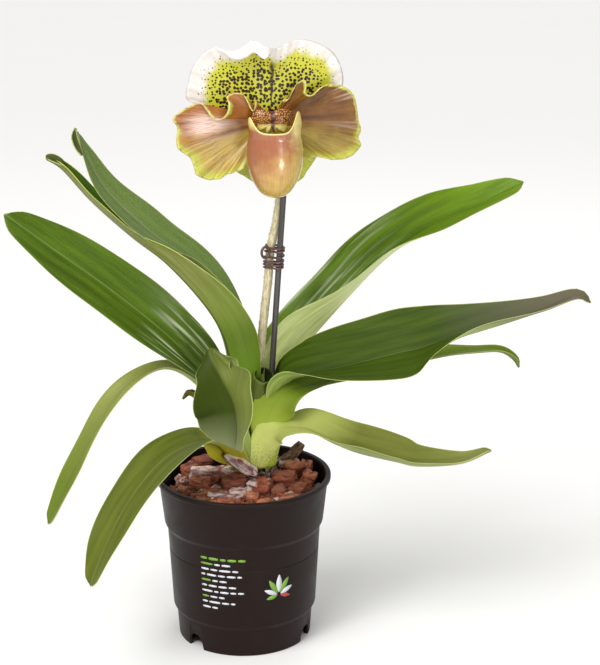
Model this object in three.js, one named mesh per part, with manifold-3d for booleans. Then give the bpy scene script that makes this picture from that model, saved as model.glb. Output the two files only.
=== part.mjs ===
// Slipper orchid (Paphiopedilum, complex hybrid) in bloom, growing in bark in a 12 cm nursery pot.
// Millimetres, +Z up, X to the right, the flower faces -Y.
// The origin is the middle of the pot's underside, on the surface that the pot stands on.
//
// The pot carries the bark, the bark carries the crown and the stake, and the crown carries the
// leaves and the flower stem. Neighbouring pieces keep a gap of 0.3 mm.

import * as THREE from "three";
import { mergeVertices } from "three/addons/utils/BufferGeometryUtils.js";
import Module from "manifold-3d";

const wasm = await Module();
wasm.setup();

// ---------------------------------------------------------------- driving dimensions

const GAP = 0.3; // between pieces that touch on the real plant
const MERGE = 1e-4; // vertices closer than this are one
const LEAF_MIDDLE = 2.0; // leaf thickness at the midrib
const LEAF_MARGIN = 1.0; // leaf thickness at the margin
const LEAF_SHEATH = 0.7; // share of that thickness at the clasping base
const TEPAL_MIDDLE = 1.5; // petal and sepal thickness
const TEPAL_MARGIN = 0.9;

const POT = {
  height: 118,
  rimRadius: 60.8, // outside of the rolled lip
  lip: 3.5, // height of the lip
  collarTop: 58.8, // outside radius of the collar, under the lip
  collarBottom: 55.4,
  collarHeight: 35, // from the rim down to the step
  bodyTop: 53.4, // outside radius under the step
  bodyBottom: 50.1,
  stepSlope: 1.5, // half the height over which the wall steps in
  skirtHeight: 21.5, // height of the recessed foot band
  skirtTop: 47.8,
  footRadius: 46.4,
  wall: 1.6,
  floor: 2,
  floorLift: 2.5, // height of the floor above the table
  footRing: 3, // width of the ring that the pot stands on
  notches: 3, // drain notches in the foot band
  notchWidth: 13,
  notchHeight: 10.5,
  notchDepth: 9, // how far each notch reaches in from the wall
  firstNotch: 218, // compass direction of the first notch
  sides: 40,
};

const BARK = {
  edgeHeight: 103, // bed surface at the pot wall
  middleHeight: 110, // bed surface around the crown
  chips: 28, // loose pieces besides the large ones
  chipRadius: [5.5, 8.5],
  chipShape: [2.1, 1.6, 1.4], // length, width and height over that radius
  chipTilt: 40, // most that a loose piece leans, in degrees
  chipRise: 3, // most that its middle lies above the bed
  ring: [0.12, 0.78], // share of the bed's area that the loose pieces lie on, from and to
  turnPerChip: 137.5, // degrees from one loose piece to the next
  keepClear: 20, // round the crown
  roomRadius: 18, // free space round the crown, above the bed
  sides: 24,
  seed: 715,
};

const CROWN = {
  x: 7,
  y: 9,
  top: 117.2,
  topRadius: 16.6,
  topEdge: 3, // height of the vertical edge under the top
  shoulder: 9, // how far under the top the knob narrows
  neck: 12, // radius of the knob in the bark
  bottom: 92,
  sides: 16,
};
const ROOTS = { directions: [-140, -40, 50, 140], radius: 2.1, reach: 30, depth: 46, sides: 6, steps: 5 };
const STAKE = { foot: [12.2, 9.4, 68], head: [29.9, 2.3, 338], radius: 2.1, sides: 10 };
const TIE = { low: 263, high: 280, turns: 5.5, wire: 0.75, slack: 0.6, sides: 5, stepsPerTurn: 12 };

// Middle of the flower, where all its parts meet, and the knob there that carries them.
const FLOWER = { x: 20, y: -4, z: 366.5, knob: 4.6, knobBehind: 1 };

// ---------------------------------------------------------------- small helpers

const radians = THREE.MathUtils.degToRad;
const mix = (a, b, t) => a + (b - a) * t;

function seededRandom(seed) {
  let state = seed >>> 0;
  return () => {
    state = (Math.imul(state, 1664525) + 1013904223) >>> 0;
    return state / 4294967296;
  };
}

// One step of a Catmull-Rom curve through p1 and p2.
function catmullStep(p0, p1, p2, p3, t) {
  return (
    0.5 *
    (2 * p1 +
      (p2 - p0) * t +
      (2 * p0 - 5 * p1 + 4 * p2 - p3) * t * t +
      (3 * p1 - p0 - 3 * p2 + p3) * t * t * t)
  );
}

// Smooth row of values at parameter u, from 0 to rows.length - 1.
function rowAt(rows, u) {
  const last = rows.length - 1;
  const i = Math.min(Math.max(Math.floor(u), 0), last - 1);
  const t = u - i;
  return rows[i].map((value, k) => {
    const next = rows[i + 1][k];
    const before = i > 0 ? rows[i - 1][k] : 2 * value - next;
    const after = i + 2 <= last ? rows[i + 2][k] : 2 * next - value;
    return catmullStep(before, value, next, after, t);
  });
}

// Parameters that divide the curve through the rows' first three values into equal lengths.
function evenParameters(rows, count) {
  const samples = 300;
  const lengths = [0];
  let before = rowAt(rows, 0);
  for (let i = 1; i <= samples; i++) {
    const here = rowAt(rows, ((rows.length - 1) * i) / samples);
    const step = Math.hypot(here[0] - before[0], here[1] - before[1], here[2] - before[2]);
    lengths.push(lengths[i - 1] + step);
    before = here;
  }
  const result = [];
  let k = 0;
  for (let i = 0; i <= count; i++) {
    const wanted = (lengths[samples] * i) / count;
    while (k < samples - 1 && lengths[k + 1] < wanted) k++;
    const span = lengths[k + 1] - lengths[k];
    const share = span > 0 ? (wanted - lengths[k]) / span : 0;
    result.push(((rows.length - 1) * (k + Math.min(share, 1))) / samples);
  }
  return result;
}

// ---------------------------------------------------------------- solids

// A closed indexed geometry from points and triangles.
function closedGeometry(points, triangles) {
  const geometry = new THREE.BufferGeometry();
  const position = new Float32Array(points.flatMap((p) => [p.x, p.y, p.z]));
  geometry.setAttribute("position", new THREE.BufferAttribute(position, 3));
  geometry.setIndex(triangles.flat());
  return geometry;
}

// Gives a sheet of points (rows by columns) a thickness, and closes it along its four sides.
// Both faces are split along the same diagonals.
function thickSheet(grid, thicknessAt) {
  const rows = grid.length;
  const columns = grid[0].length;
  const normalAt = (i, j) => {
    const along = new THREE.Vector3().subVectors(
      grid[Math.min(i + 1, rows - 1)][j],
      grid[Math.max(i - 1, 0)][j],
    );
    const across = new THREE.Vector3().subVectors(
      grid[i][Math.min(j + 1, columns - 1)],
      grid[i][Math.max(j - 1, 0)],
    );
    return along.cross(across).normalize();
  };
  const points = [];
  for (const sign of [1, -1])
    for (let i = 0; i < rows; i++)
      for (let j = 0; j < columns; j++)
        points.push(
          grid[i][j].clone().addScaledVector(normalAt(i, j), (sign * thicknessAt(i, j)) / 2),
        );
  const front = (i, j) => i * columns + j;
  const back = (i, j) => rows * columns + i * columns + j;
  const triangles = [];
  for (let i = 0; i < rows - 1; i++)
    for (let j = 0; j < columns - 1; j++) {
      const mirrored = j < (columns - 1) / 2;
      const quad = mirrored
        ? [[0, 0], [1, 0], [0, 1], [1, 0], [1, 1], [0, 1]]
        : [[0, 0], [1, 0], [1, 1], [0, 0], [1, 1], [0, 1]];
      for (let k = 0; k < 6; k += 3) {
        const corners = quad.slice(k, k + 3).map(([a, b]) => [i + a, j + b]);
        triangles.push(corners.map(([a, b]) => front(a, b)));
        triangles.push(corners.map(([a, b]) => back(a, b)).reverse());
      }
    }
  const rim = [];
  for (let j = 0; j < columns - 1; j++) rim.push([0, j]);
  for (let i = 0; i < rows - 1; i++) rim.push([i, columns - 1]);
  for (let j = columns - 1; j > 0; j--) rim.push([rows - 1, j]);
  for (let i = rows - 1; i > 0; i--) rim.push([i, 0]);
  rim.forEach(([a, b], k) => {
    const [c, d] = rim[(k + 1) % rim.length];
    triangles.push([front(a, b), front(c, d), back(c, d)]);
    triangles.push([front(a, b), back(c, d), back(a, b)]);
  });
  return closedGeometry(points, triangles);
}

// A closed surface through rings of equal length, with a point at each end.
function ringsSolid(rings, start, end) {
  const count = rings[0].length;
  const points = [start, ...rings.flat(), end];
  const last = points.length - 1;
  const triangles = [];
  const at = (i, j) => 1 + i * count + (j % count);
  for (let j = 0; j < count; j++) {
    triangles.push([0, at(0, j + 1), at(0, j)]);
    triangles.push([last, at(rings.length - 1, j), at(rings.length - 1, j + 1)]);
  }
  for (let i = 0; i < rings.length - 1; i++)
    for (let j = 0; j < count; j++) {
      triangles.push([at(i, j), at(i, j + 1), at(i + 1, j + 1)]);
      triangles.push([at(i, j), at(i + 1, j + 1), at(i + 1, j)]);
    }
  return closedGeometry(points, triangles);
}

// A round rod of one radius along a curve through points [x, y, z].
function rod(points, radius, sides, steps) {
  const path = new THREE.CatmullRomCurve3(points.map((point) => new THREE.Vector3(...point)));
  const circle = new THREE.EllipseCurve(0, 0, radius, radius).getPoints(sides).slice(0, -1);
  return new THREE.ExtrudeGeometry(new THREE.Shape(circle), { steps, extrudePath: path });
}

// A round body of changing radius through stations [x, y, z, radius], with flat ends.
function taperedRod(stations, sides, steps) {
  const rings = evenParameters(stations, steps).map((u, i, all) => {
    const here = rowAt(stations, u);
    const ahead = rowAt(stations, Math.min(u + 0.01, stations.length - 1));
    const behind = rowAt(stations, Math.max(u - 0.01, 0));
    const tangent = new THREE.Vector3(
      ahead[0] - behind[0],
      ahead[1] - behind[1],
      ahead[2] - behind[2],
    ).normalize();
    const side = new THREE.Vector3(1, 0, 0).addScaledVector(tangent, -tangent.x).normalize();
    const up = new THREE.Vector3().crossVectors(tangent, side);
    const ring = [];
    for (let k = 0; k < sides; k++) {
      const angle = (2 * Math.PI * k) / sides;
      ring.push(
        new THREE.Vector3(here[0], here[1], here[2])
          .addScaledVector(side, here[3] * Math.cos(angle))
          .addScaledVector(up, here[3] * Math.sin(angle)),
      );
    }
    return ring;
  });
  const centre = (row) => new THREE.Vector3(row[0], row[1], row[2]);
  return ringsSolid(rings, centre(stations[0]), centre(stations[stations.length - 1]));
}

// A copy of a geometry with nothing but its positions.
function bareGeometry(geometry) {
  const bare = geometry.clone();
  bare.deleteAttribute("normal");
  bare.deleteAttribute("uv");
  return bare;
}

// A three.js geometry as a manifold-3d solid, and back.
function toSolid(geometry) {
  const merged = mergeVertices(bareGeometry(geometry), MERGE);
  return new wasm.Manifold(
    new wasm.Mesh({
      numProp: 3,
      vertProperties: merged.attributes.position.array,
      triVerts: new Uint32Array(merged.index.array),
    }),
  );
}

function toGeometry(solid) {
  const mesh = solid.getMesh();
  const geometry = new THREE.BufferGeometry();
  geometry.setAttribute("position", new THREE.BufferAttribute(mesh.vertProperties, 3));
  geometry.setIndex(new THREE.BufferAttribute(mesh.triVerts, 1));
  return geometry;
}

// The largest piece of a solid that a cut may have left in scraps.
function mainBody(solid) {
  return solid.decompose().reduce((a, b) => (a.volume() > b.volume() ? a : b));
}

// ---------------------------------------------------------------- leaves

// Each leaf is a strap along its midrib. A station is
//   [x, y, z, facing, roll, half width, fold, curl]
// with angles in degrees. Facing is the compass direction that the leaf grows in, from +X towards
// +Y. Roll turns the blade about its midrib. Fold is how steeply the two halves leave the midrib,
// and curl how much each half bends up from there to its margin.
const LEAVES = {
  leaf_left_big: {
    colour: 0x3f6b1c,
    rows: [
      [-2.4, 9, 117.5, 180, 0, 8.2, 0, 50],
      [-5, 10, 140, 180, 0, 10, 0, 50],
      [-13, 8, 166, 180, 6, 13, 10, 50],
      [-29, 1, 193, 178, 26, 18, 12, 36],
      [-54, -5, 221, 176, 42, 21, 12, 22],
      [-88, -8, 252, 176, 46, 22, 10, 14],
      [-120, -10, 278, 176, 46, 20, 10, 12],
      [-144, -10, 297, 176, 44, 13, 8, 10],
      [-156, -9, 306, 176, 44, 5, 5, 8],
    ],
  },
  leaf_left_inner: {
    colour: 0x56812f,
    rows: [
      [2, 9, 117.5, 180, 0, 5.2, 0, 60],
      [1, 10, 150, 180, 0, 7, 10, 50],
      [-0.5, 11, 190, 180, 0, 10, 20, 40],
      [-4, 12, 214, 180, 0, 12.5, 26, 30],
      [-15, 14, 240.5, 178, 0, 15, 24, 30],
      [-34, 15, 266, 176, 6, 17, 18, 28],
      [-61, 12, 289.5, 174, 19, 18, 8, 22],
      [-87, 10, 318, 174, 26, 15, 8, 16],
      [-102, 12, 341.5, 176, 20, 9, 10, 20],
      [-108, 14, 355, 178, 10, 3, 10, 20],
    ],
  },
  leaf_left_outer: {
    colour: 0x74823c,
    rows: [
      [0.5, 6, 117.5, 205, 0, 7.4, 0, 60],
      [-1, 5, 145, 205, -4, 10, 16, 50],
      [-5, 2, 172, 205, -20, 17, 30, 34],
      [-9, -1, 204, 200, -32, 22, 37, 20],
      [-15, -6, 227, 192, -36, 20, 37, 10],
      [-28, -6, 248, 186, -37, 17, 38, 6],
      [-50, -2, 271, 182, -24, 10.2, 34, 6],
      [-74, 6, 286, 178, -6, 8, 24, 10],
      [-100, 14, 308, 176, 0, 7, 30, 0],
      [-120, 18, 330, 176, 0, 6, 36, 0],
      [-130, 18, 337, 176, 0, 3, 30, 0],
    ],
  },
  leaf_left_hanging: {
    colour: 0x6b8434,
    rows: [
      [-4.6, 8, 117.5, 185, 0, 9, 0, 44],
      [-9, 8, 138, 185, 0, 10, 4, 44],
      [-21, 9, 163, 182, 0, 10, 14, 36],
      [-34, 8, 180, 180, 10, 10, 20, 24],
      [-53, 2, 190, 182, 26, 10, 20, 14],
      [-74, -8, 186, 182, 34, 11, 16, 10],
      [-92, -15, 167, 182, 34, 11, 14, 10],
      [-114, -24, 128, 182, 34, 11, 14, 10],
      [-129, -30, 102, 182, 30, 8, 12, 10],
      [-133, -31, 94, 182, 30, 3, 10, 8],
    ],
  },
  leaf_left_low: {
    colour: 0x5f7d2e,
    rows: [
      [-1.9, -1.6, 117.5, 230, 0, 9.6, 0, 40],
      [-8, -8, 132, 230, 0, 12, 6, 40],
      [-18, -18, 146, 228, 0, 16, 10, 30],
      [-34, -29, 150, 224, 0, 18, 8, 20],
      [-55, -43, 142, 220, 0, 19, 6, 16],
      [-76, -59, 120, 220, 0, 18, 6, 14],
      [-91, -71, 95, 220, 0, 15, 8, 14],
      [-99, -77, 76, 220, 0, 9, 8, 14],
      [-101, -79, 69, 220, 0, 4, 8, 10],
    ],
  },
  leaf_right_back: {
    colour: 0x5a7f22,
    rows: [
      [11.3, 11, 117.5, 25, 0, 5, 0, 60],
      [12, 12, 145, 27, 0, 7, 10, 50],
      [18, 15, 170, 28, 0, 13, 40, 30],
      [31, 22, 190, 28, 0, 22, 68, 10],
      [50, 31, 209, 27, -2, 25, 72, 0],
      [75, 39, 236, 26, -10, 26, 60, 0],
      [103, 49, 262, 24, -24, 26, 44, 6],
      [137, 57, 280, 20, -34, 22, 30, 8],
      [170, 61, 295, 16, -36, 15, 20, 8],
      [190, 62, 305, 14, -36, 9, 14, 8],
      [198, 62, 310, 14, -36, 4, 10, 8],
    ],
  },
  leaf_right_big: {
    colour: 0x3d5f22,
    rows: [
      [18.8, 8, 117.5, -5, 0, 9, 0, 45],
      [21.3, 8, 145, -6, 0, 10, 0, 45],
      [24, 4, 168, -8, 0, 12, 12, 40],
      [32, -4, 185, -10, -12, 20, 20, 24],
      [47, -10, 192, -12, -26, 24, 24, 10],
      [70, -18, 198, -13, -34, 28, 24, 6],
      [100, -26, 208, -13, -37, 29, 23, 4],
      [134, -34, 220, -12, -37, 24, 22, 4],
      [168, -40, 236, -10, -34, 15, 20, 6],
      [198, -44, 248, -6, -30, 10, 14, 8],
      [219, -46, 256, -4, -26, 6, 8, 8],
      [228, -47, 252, -4, -26, 2.5, 6, 6],
    ],
  },
  leaf_right_middle: {
    colour: 0x6f8f2a,
    rows: [
      [20.2, 3, 118.2, -25, 0, 11, 0, 45],
      [23, -0.5, 138, -28, 0, 12, 4, 42],
      [27.3, -7.4, 156, -30, 22, 15, 30, 30],
      [42, -6, 171, -12, 20, 16, 42, 12],
      [64, 2, 180, 5, 6, 13, 30, 6],
      [102, 14, 187, 12, -10, 12, 24, 10],
      [138, 21, 195, 10, -10, 10, 20, 10],
      [166, 24, 198, 8, -10, 7, 16, 10],
      [186, 26, 194, 6, -10, 4.5, 14, 10],
      [194, 26, 186, 6, -10, 2.5, 10, 8],
    ],
  },
  leaf_right_low: {
    colour: 0x7d9a35,
    rows: [
      [17.5, -3.6, 117.5, -50, 0, 12.4, 0, 44],
      [22.4, -10.6, 134, -46, 0, 12, 10, 44],
      [36, -14.6, 144, -30, 0, 18.6, 48, 18],
      [54, -17, 145, -16, -16, 21, 56, 6],
      [68, -19, 142, -13, -20, 21, 54, 4],
      [92, -23, 136, -12, -20, 19, 48, 4],
      [120, -27, 133, -10, -20, 15, 44, 4],
      [148, -30, 135, -8, -18, 8, 40, 4],
      [168, -31, 143, -6, -16, 3, 34, 4],
    ],
  },
  leaf_front: {
    colour: 0x4d6420,
    rows: [
      [4, -2.2, 117.5, 255, 0, 4.4, 0, 22],
      [2, -9, 138, 255, 0, 6, 10, 34],
      [-4, -16, 166, 252, 0, 8, 24, 40],
      [-10, -22, 192, 250, 0, 11, 34, 34],
      [-12, -29, 204, 252, -8, 14, 36, 24],
      [-13, -40, 207, 256, -14, 17, 30, 14],
      [-14, -50, 197, 260, -12, 19.5, 20, 14],
      [-11, -54, 176, 264, -4, 18, 12, 20],
      [-8, -54, 162, 266, 0, 11, 10, 20],
      [-7, -53, 156, 266, 0, 4, 8, 16],
    ],
  },
  leaf_young: {
    colour: 0x5f7636,
    steps: 10,
    rows: [
      [8.6, -0.1, 117.5, 280, 0, 3.6, 0, 22],
      [9, -2, 140, 280, 0, 5, 10, 40],
      [10, -7, 168, 278, 0, 7, 20, 50],
      [12, -13, 186, 276, 0, 9, 20, 60],
      [12.5, -20, 193, 274, 0, 8, 16, 60],
      [12.5, -26, 193, 272, 0, 4, 10, 40],
    ],
  },
  leaf_withered: {
    colour: 0x54501e,
    steps: 8,
    rows: [
      [-5, 15.9, 117.5, 150, 0, 3.6, 0, 18],
      [-13, 21, 135, 154, 0, 5, 10, 30],
      [-25, 25, 154, 160, 0, 5, 20, 40],
      [-36, 24, 167, 170, 0, 5, 20, 60],
      [-42, 22, 165, 176, 0, 2.5, 10, 40],
    ],
  },
};

const leafAcross = 3; // columns on each side of the midrib
const leafAlong = 16;

// Sheet of points of one leaf.
function leafSheet({ rows, steps = leafAlong }) {
  return evenParameters(rows, steps).map((u) => {
    const [x, y, z, facing, roll, halfWidth, fold, curl] = rowAt(rows, u);
    const ahead = rowAt(rows, Math.min(u + 0.01, rows.length - 1));
    const behind = rowAt(rows, Math.max(u - 0.01, 0));
    const tangent = new THREE.Vector3(
      ahead[0] - behind[0],
      ahead[1] - behind[1],
      ahead[2] - behind[2],
    ).normalize();
    const level = new THREE.Vector3(-Math.sin(radians(facing)), Math.cos(radians(facing)), 0);
    const flat = level.addScaledVector(tangent, -level.dot(tangent)).normalize();
    const inward = new THREE.Vector3().crossVectors(tangent, flat);
    const c = Math.cos(radians(roll));
    const s = Math.sin(radians(roll));
    const across = flat.clone().multiplyScalar(c).addScaledVector(inward, -s);
    const up = inward.clone().multiplyScalar(c).addScaledVector(flat, s);
    const row = [];
    for (let j = -leafAcross; j <= leafAcross; j++) {
      const reach = (Math.abs(j) / leafAcross) * halfWidth;
      const start = radians(fold);
      const bend = Math.max(radians(curl), 1e-4) / halfWidth;
      const out = (Math.sin(start + bend * reach) - Math.sin(start)) / bend;
      const rise = (Math.cos(start) - Math.cos(start + bend * reach)) / bend;
      row.push(
        new THREE.Vector3(x, y, z)
          .addScaledVector(across, Math.sign(j) * out)
          .addScaledVector(up, rise),
      );
    }
    return row;
  });
}

function leafGeometry(leaf) {
  const steps = leaf.steps ?? leafAlong;
  const thicknessAt = (i, j) => {
    const share = Math.abs(j - leafAcross) / leafAcross;
    const sheath = Math.min(1, LEAF_SHEATH + i / steps / 0.3);
    return sheath * mix(LEAF_MIDDLE, LEAF_MARGIN, share ** 2);
  };
  return thickSheet(leafSheet(leaf), thicknessAt);
}

// ---------------------------------------------------------------- pot and bark

// Outline of the pot's wall and floor as [radius, height], up the outside and down the inside.
function potSection() {
  const { height, lip, wall, floorLift, floor, stepSlope } = POT;
  const step = height - POT.collarHeight;
  const rounding = 0.8; // at the lip's edges
  return [
    [0, floorLift],
    [POT.footRadius - POT.footRing, floorLift],
    [POT.footRadius - POT.footRing, 0],
    [POT.footRadius, 0],
    [POT.skirtTop, POT.skirtHeight - stepSlope],
    [POT.bodyBottom, POT.skirtHeight + stepSlope],
    [POT.bodyTop, step - stepSlope],
    [POT.collarBottom, step + stepSlope],
    [POT.collarTop, height - lip],
    [POT.rimRadius - rounding, height - lip],
    [POT.rimRadius, height - lip + rounding],
    [POT.rimRadius, height - rounding],
    [POT.rimRadius - rounding, height],
    [POT.collarTop - wall, height],
    ...wallInside(),
    [0, floorLift + floor],
  ];
}

// Inner face of the wall, from the rim down to the floor, as [radius, height].
function wallInside(gap = 0) {
  const step = POT.height - POT.collarHeight;
  const inside = (radius) => radius - POT.wall - gap;
  return [
    [inside(POT.collarBottom), step + POT.stepSlope],
    [inside(POT.bodyTop), step - POT.stepSlope],
    [inside(POT.bodyBottom), POT.skirtHeight + POT.stepSlope],
    [inside(POT.skirtTop), POT.skirtHeight - POT.stepSlope],
    [inside(POT.footRadius), POT.floorLift + POT.floor + gap],
  ];
}

// A solid turned round the Z axis from [radius, height] pairs that run upwards outside.
function turned(section, sides) {
  const profile = section.map(([radius, height]) => new THREE.Vector2(radius, height));
  return new THREE.LatheGeometry(profile, sides).rotateX(Math.PI / 2);
}

function potGeometry() {
  const half = POT.notchWidth / 2;
  const shoulder = POT.notchHeight * 0.75;
  const outline = new THREE.Shape([
    new THREE.Vector2(-half, -1),
    new THREE.Vector2(half, -1),
    new THREE.Vector2(half * 0.75, shoulder),
    new THREE.Vector2(half * 0.35, POT.notchHeight),
    new THREE.Vector2(-half * 0.35, POT.notchHeight),
    new THREE.Vector2(-half * 0.75, shoulder),
  ]);
  const cutter = new THREE.ExtrudeGeometry(outline, { depth: POT.notchDepth, bevelEnabled: false })
    .rotateX(Math.PI / 2)
    .translate(0, POT.notchDepth - POT.bodyBottom, 0)
    .rotateZ(Math.PI / 2);
  let pot = toSolid(turned(potSection(), POT.sides));
  for (let k = 0; k < POT.notches; k++) {
    const direction = radians(POT.firstNotch + (360 / POT.notches) * k);
    pot = pot.subtract(toSolid(cutter.clone().rotateZ(direction)));
  }
  return toGeometry(pot);
}

// Outline of the crown's knob as [radius, height].
function crownSection(grow) {
  const { top, topRadius, topEdge, shoulder, neck, bottom } = CROWN;
  return [
    [0, bottom - grow],
    [neck / 2 + grow, bottom - grow],
    [neck + grow, bottom + shoulder],
    [neck + grow, top - shoulder],
    [topRadius + grow, top - topEdge],
    [topRadius + grow, top],
    [0, top],
  ];
}

// Crown knob with its thick roots, grown by a margin when it is used to cut the bark.
function crownSolid(grow = 0) {
  const knob = turned(crownSection(grow), CROWN.sides).translate(CROWN.x, CROWN.y, 0);
  let solid = toSolid(knob);
  for (const direction of ROOTS.directions) {
    const at = (distance, drop) => [
      CROWN.x + Math.cos(radians(direction)) * distance,
      CROWN.y + Math.sin(radians(direction)) * distance,
      CROWN.bottom - drop,
    ];
    const route = [
      at(0, -CROWN.shoulder),
      at(ROOTS.reach * 0.6, ROOTS.depth * 0.1),
      at(ROOTS.reach, ROOTS.depth * 0.5),
      at(ROOTS.reach, ROOTS.depth),
    ];
    const root = rod(route, ROOTS.radius + grow, ROOTS.sides, ROOTS.steps);
    solid = solid.add(toSolid(root));
  }
  return solid;
}

// The crown with a plain hole where the stake passes through it.
function crownGeometry() {
  return toGeometry(crownSolid().subtract(toSolid(stakeGeometry(GAP))));
}

// Large bark pieces that lie on top: [x, y, z, length, width, height, turn, tilt].
const LARGE_CHIPS = [
  [-25, -12, 111, 22, 13, 12, 10, 8],
  [-31, -33, 109, 15, 11, 11, -30, 10],
  [-7, -24, 110, 20, 15, 15, 20, 12],
  [-2, -42, 109, 12, 11, 10, 60, 20],
  [13, -25, 110, 13, 12, 12, -20, 10],
  [27, -18, 112, 19, 13, 11, -15, 14],
  [33, 4, 113, 16, 12, 13, 40, 20],
  [42, -4, 110, 14, 12, 12, 70, 15],
  [-9, -13, 116, 15, 7, 6, -40, 30],
  [3, -14, 115, 14, 8, 7, -35, 25],
  [33, 18, 117, 17, 7, 6, 10, 15],
  [-22, 8, 113, 14, 10, 9, 50, 20],
  [-12, -2, 114, 11, 9, 9, 90, 10],
  [-19, -45, 108, 16, 6, 5, 15, 8],
  [9, -41, 109, 8, 9, 10, 0, 12],
  [32, -35, 108, 20, 8, 6, 30, 10],
];

// Broken stub of old wood that stands up at the right: [x, y, z, radius].
const STUB = [
  [30, 15, 110, 3.4],
  [35, 20, 120, 3.2],
  [39, 23, 128, 3.4],
  [41, 24, 132, 2.2],
];

// An angular block: a box with its corners shifted at random.
function chipSolid([x, y, z, length, width, height, turn, tilt], random) {
  const block = mergeVertices(bareGeometry(new THREE.BoxGeometry(length, width, height)));
  const position = block.attributes.position;
  const shift = () => mix(0.72, 1.12, random());
  for (let k = 0; k < position.count; k++)
    position.setXYZ(
      k,
      position.getX(k) * shift(),
      position.getY(k) * shift(),
      position.getZ(k) * shift(),
    );
  block.rotateX(radians(tilt)).rotateZ(radians(turn)).translate(x, y, z);
  return toSolid(block);
}

// Loose pieces between the large ones, spread over the bed in a spiral.
function looseChips(random) {
  const chips = [];
  for (let k = 0; k < BARK.chips; k++) {
    const distance = BED_RADIUS * Math.sqrt(mix(...BARK.ring, (k + 0.5) / BARK.chips));
    const angle = radians(BARK.turnPerChip * k);
    const x = distance * Math.cos(angle);
    const y = distance * Math.sin(angle);
    if (Math.hypot(x - CROWN.x, y - CROWN.y) < BARK.keepClear) continue;
    const radius = mix(...BARK.chipRadius, random());
    const z = bedHeight(distance) + BARK.chipRise * random();
    const size = BARK.chipShape.map((share) => share * radius);
    chips.push([x, y, z, ...size, 360 * random(), BARK.chipTilt * random()]);
  }
  return chips;
}

// Height of the bed at a distance from the pot's axis.
const BED_RADIUS = POT.collarBottom - POT.wall - GAP;
const bedHeight = (distance) =>
  mix(BARK.middleHeight, BARK.edgeHeight, Math.min(distance / BED_RADIUS, 1) ** 1.5);

function barkGeometry() {
  const wallUp = wallInside(GAP).reverse();
  const surface = [1, 0.6, 0.3, 0].map((share) => [BED_RADIUS * share, bedHeight(BED_RADIUS * share)]);
  let bark = toSolid(turned([[0, wallUp[0][1]], ...wallUp, ...surface], BARK.sides));
  const random = seededRandom(BARK.seed);
  for (const chip of [...LARGE_CHIPS, ...looseChips(random)]) bark = bark.add(chipSolid(chip, random));
  bark = bark.add(toSolid(taperedRod(STUB, 6, 4)));
  const above = POT.height * 1.2;
  const potRoom = turned([[0, 0], ...wallUp, [BED_RADIUS, above], [0, above]], BARK.sides);
  const edge = CROWN.top - CROWN.shoulder;
  const crownRoom = turned(
    [
      [0, edge],
      [BARK.roomRadius, edge + CROWN.topEdge],
      [BARK.roomRadius, above],
      [0, above],
    ],
    CROWN.sides,
  ).translate(CROWN.x, CROWN.y, 0);
  bark = bark.intersect(toSolid(potRoom));
  for (const hole of [crownSolid(GAP), toSolid(crownRoom), toSolid(stakeGeometry(GAP))])
    bark = bark.subtract(hole);
  return toGeometry(mainBody(bark));
}

// ---------------------------------------------------------------- stem, stake and tie

function stakeGeometry(grow = 0) {
  const foot = new THREE.Vector3(...STAKE.foot);
  const head = new THREE.Vector3(...STAKE.head);
  const along = head.clone().sub(foot);
  const radius = STAKE.radius + grow;
  const turn = new THREE.Quaternion().setFromUnitVectors(
    new THREE.Vector3(0, 1, 0),
    along.clone().normalize(),
  );
  return new THREE.CylinderGeometry(radius, radius, along.length() + 2 * grow, STAKE.sides)
    .applyQuaternion(turn)
    .translate(...foot.add(head).multiplyScalar(0.5));
}

// Points of the flower stem, and the two of them that the tie lies between.
const STEM = {
  radius: 2.9,
  route: [
    [6, 9.5, 117.5],
    [9, 9.5, 155],
    [14, 9, 218],
    [18, 9, 255],
    [19.4, 9, 274],
    [24, 9, 296],
    [26.4, 9.4, 312],
  ],
  tied: [3, 5],
};

// Stations of the ovary, which swells and bends forward to the flower: [x, y, z, radius].
const OVARY = [
  [26.4, 9.5, 312.4, 2.9],
  [27.4, 11, 326, 3.8],
  [26, 11.5, 342, 4],
  [22.8, 7, 356, 3.6],
  [20.4, 1, 364.5, 3],
];

function ovaryGeometry() {
  const knob = new THREE.SphereGeometry(FLOWER.knob, 10, 8);
  knob.translate(FLOWER.x, FLOWER.y + FLOWER.knobBehind, FLOWER.z);
  return toGeometry(toSolid(taperedRod(OVARY, 8, 12)).add(toSolid(knob)));
}

// A point of the tie's wire: outside the stem or the stake, whichever reaches further.
function tiePoint(z, angle) {
  const at = ([low, high]) => {
    const share = (z - low[2]) / (high[2] - low[2]);
    return new THREE.Vector2(mix(low[0], high[0], share), mix(low[1], high[1], share));
  };
  const direction = new THREE.Vector2(Math.cos(angle), Math.sin(angle));
  const outside = (centre, radius) =>
    centre.addScaledVector(direction, radius + TIE.slack + TIE.wire);
  const [low, middle, high] = STEM.route.slice(STEM.tied[0], STEM.tied[1] + 1);
  const round = [
    outside(at([STAKE.foot, STAKE.head]), STAKE.radius),
    outside(at(z < middle[2] ? [low, middle] : [middle, high]), STEM.radius),
  ];
  const [first, second] = round.map((point) => point.dot(direction));
  const point = first > second ? round[0] : round[1];
  return [point.x, point.y, z];
}

function tieGeometry() {
  const steps = Math.round(TIE.turns * TIE.stepsPerTurn);
  const points = [];
  for (let k = 0; k <= steps; k++)
    points.push(tiePoint(mix(TIE.low, TIE.high, k / steps), (2 * Math.PI * k) / TIE.stepsPerTurn));
  return rod(points, TIE.wire, TIE.sides, steps);
}

// ---------------------------------------------------------------- flower

// A point of the flower: right, up and forward of its middle.
const flowerPoint = (right, up, forward) =>
  new THREE.Vector3(FLOWER.x + right, FLOWER.y - forward, FLOWER.z + up);

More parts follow.
